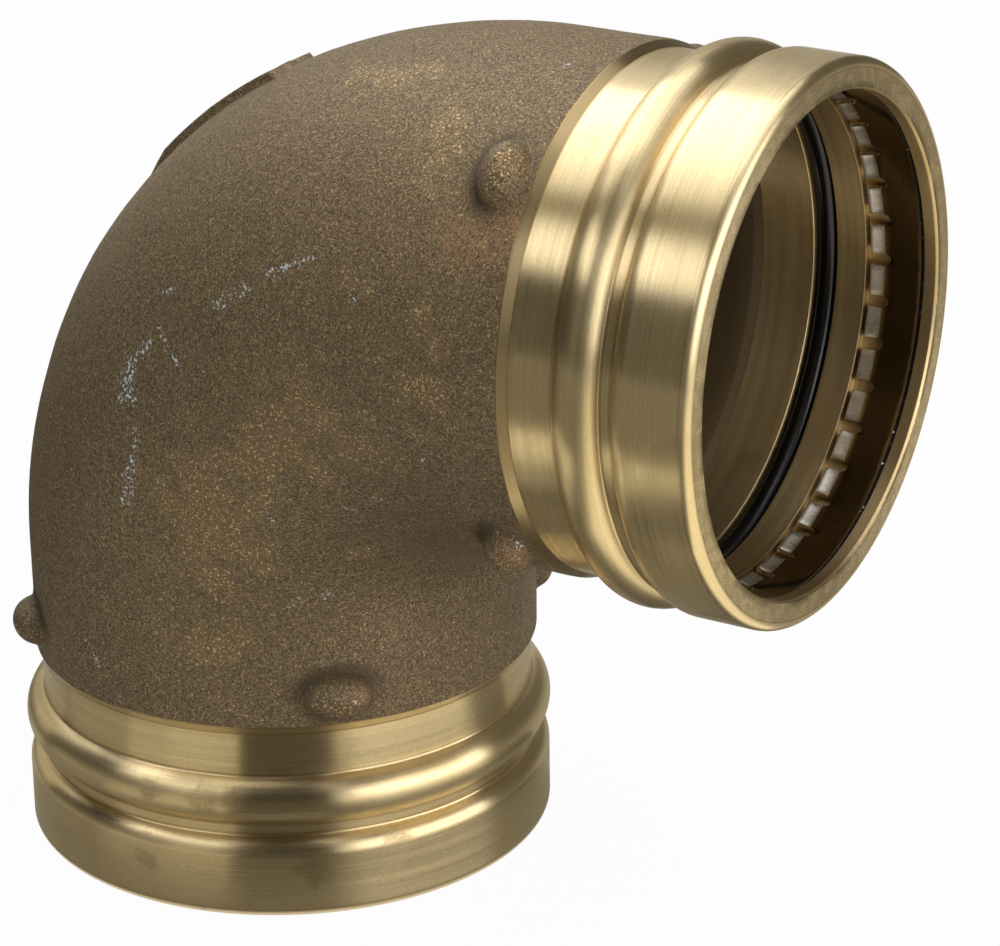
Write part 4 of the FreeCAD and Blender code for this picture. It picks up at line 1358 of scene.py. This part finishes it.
def add_card(name, start, end, profile, shade):
    """Bend a studio card round the elbow between two azimuths. Only reflections show it.

    The profile is a list of (distance from the elbow's axis, height above the floor)."""
    points, faces = [], []
    steps = max(int(math.degrees(end - start) / CARD_STEP), 2)
    rows = len(profile)
    for i in range(steps + 1):
        turn = start + (end - start) * i / steps
        for reach, level in profile:
            points.append((reach * math.sin(turn), -reach * math.cos(turn), level))
    for i in range(steps):
        for j in range(rows - 1):
            first = i * rows + j
            faces.append((first, first + rows, first + rows + 1, first + 1))
    card = new_object(name, new_mesh(name, points, faces))
    material = bpy.data.materials.new(name)
    graph = start_graph(material)
    glow = graph.node("ShaderNodeEmission", {"Color": CARD_TINT, "Strength": shade})
    graph.node("ShaderNodeOutputMaterial", {"Surface": glow.outputs[0]})
    card.data.materials.append(material)
    card.visible_camera = False
    card.visible_diffuse = False
    card.visible_shadow = False
    card.visible_transmission = False


def seen_rays(graph):
    """1 for the rays that see the studio as white: the camera's, and those in metal and glass."""
    rays = graph.node("ShaderNodeLightPath").outputs
    return graph.most(rays["Is Camera Ray"], graph.most(rays["Is Glossy Ray"], rays["Is Transmission Ray"]))


def add_floor(stage):
    """Pale floor that the camera sees as white, with the elbow's shadow on it."""
    corners = [(-FLOOR_HALF, -FLOOR_HALF, 0), (FLOOR_HALF, -FLOOR_HALF, 0),
               (FLOOR_HALF, FLOOR_HALF, 0), (-FLOOR_HALF, FLOOR_HALF, 0)]
    floor = new_object("floor", new_mesh("floor", corners, [(0, 1, 2, 3)]))
    floor.location.z = -FLOOR_DROP
    material = bpy.data.materials.new("floor")
    graph = start_graph(material)
    shade = stage.floor_shade
    pale = graph.node("ShaderNodeBsdfDiffuse", {"Color": (shade, shade, shade)})
    white = graph.node("ShaderNodeEmission", {"Color": (1.0, 1.0, 1.0), "Strength": 1.0})
    mixed = graph.node("ShaderNodeMixShader", {0: graph.times(seen_rays(graph), FLOOR_WHITE),
                                               1: pale.outputs[0], 2: white.outputs[0]})
    graph.node("ShaderNodeOutputMaterial", {"Surface": mixed.outputs[0]})
    floor.data.materials.append(material)


def set_world(context, stage):
    """White room for camera, glossy and transmission rays, and a softer level for the light it gives."""
    world = bpy.data.worlds.new("studio")
    context.scene.world = world
    graph = start_graph(world)
    strength = graph.span(seen_rays(graph), 0.0, 1.0, stage.ambient, 1.0)
    background = graph.node("ShaderNodeBackground", {"Color": (1.0, 1.0, 1.0), "Strength": strength})
    graph.node("ShaderNodeOutputWorld", {"Surface": background.outputs[0]})


class OBJECT_OT_elbow_stage(bpy.types.Operator):
    """Set up the camera, the pale floor, the soft lights and the cards that reflections show."""

    bl_idname = "object.elbow_stage"
    bl_label = "Stage"

    def execute(self, context):
        stage, size = context.scene.elbow_stage, context.scene.elbow_sizes
        context.scene.view_settings.view_transform = "Standard"
        add_camera(context, stage, size)
        add_floor(stage)
        set_world(context, stage)
        facing = stage.camera_azimuth
        middle = Vector((size.centre_to_mouth * 0.35, 0.0, size.centre_to_mouth * 0.6))
        for name, glow, width, height, azimuth, elevation in SOFTBOXES:
            add_softbox(name, getattr(stage, glow), width, height, facing + math.radians(azimuth),
                        math.radians(elevation), middle)
        for name, start, end, low, high, shade in WALL_CARDS:
            rise = [math.radians(low + (high - low) * i / CARD_BENDS) for i in range(CARD_BENDS + 1)]
            profile = [(CARD_DISTANCE * math.cos(turn), CARD_DISTANCE * math.sin(turn)) for turn in rise]
            add_card(name, facing + math.radians(start), facing + math.radians(end), profile, shade)
        for name, start, end, near, far, shade in FLOOR_CARDS:
            profile = [(near * MM, CARD_LIFT), (far * MM, CARD_LIFT)]
            add_card(name, facing + math.radians(start), facing + math.radians(end), profile, shade)
        return {"FINISHED"}


class VIEW3D_PT_press_elbow(bpy.types.Panel):
    """The elbow's pieces, in the order in which they are built."""

    bl_label = "Press elbow"
    bl_space_type = "VIEW_3D"
    bl_region_type = "UI"
    bl_category = "Press elbow"

    def draw(self, context):
        column = self.layout.column()
        for operator in (OBJECT_OT_elbow_stage, OBJECT_OT_elbow_casting, OBJECT_OT_elbow_seal_rings,
                         OBJECT_OT_elbow_grip_rings):
            column.operator(operator.bl_idname)


CLASSES = (ElbowSizes, RingSizes, FinishColours, StageSettings, OBJECT_OT_elbow_stage,
           OBJECT_OT_elbow_casting, OBJECT_OT_elbow_seal_rings, OBJECT_OT_elbow_grip_rings,
           VIEW3D_PT_press_elbow)


def register():
    for item in CLASSES:
        bpy.utils.register_class(item)
    bpy.types.Scene.elbow_sizes = PointerProperty(type=ElbowSizes)
    bpy.types.Scene.elbow_rings = PointerProperty(type=RingSizes)
    bpy.types.Scene.elbow_colours = PointerProperty(type=FinishColours)
    bpy.types.Scene.elbow_stage = PointerProperty(type=StageSettings)


def unregister():
    for name in ("elbow_sizes", "elbow_rings", "elbow_colours", "elbow_stage"):
        delattr(bpy.types.Scene, name)
    for item in reversed(CLASSES):
        bpy.utils.unregister_class(item)


def main():
    register()
    bpy.ops.object.elbow_stage()
    bpy.ops.object.elbow_casting()
    bpy.ops.object.elbow_seal_rings()
    bpy.ops.object.elbow_grip_rings()


if __name__ == "__main__":
    main()
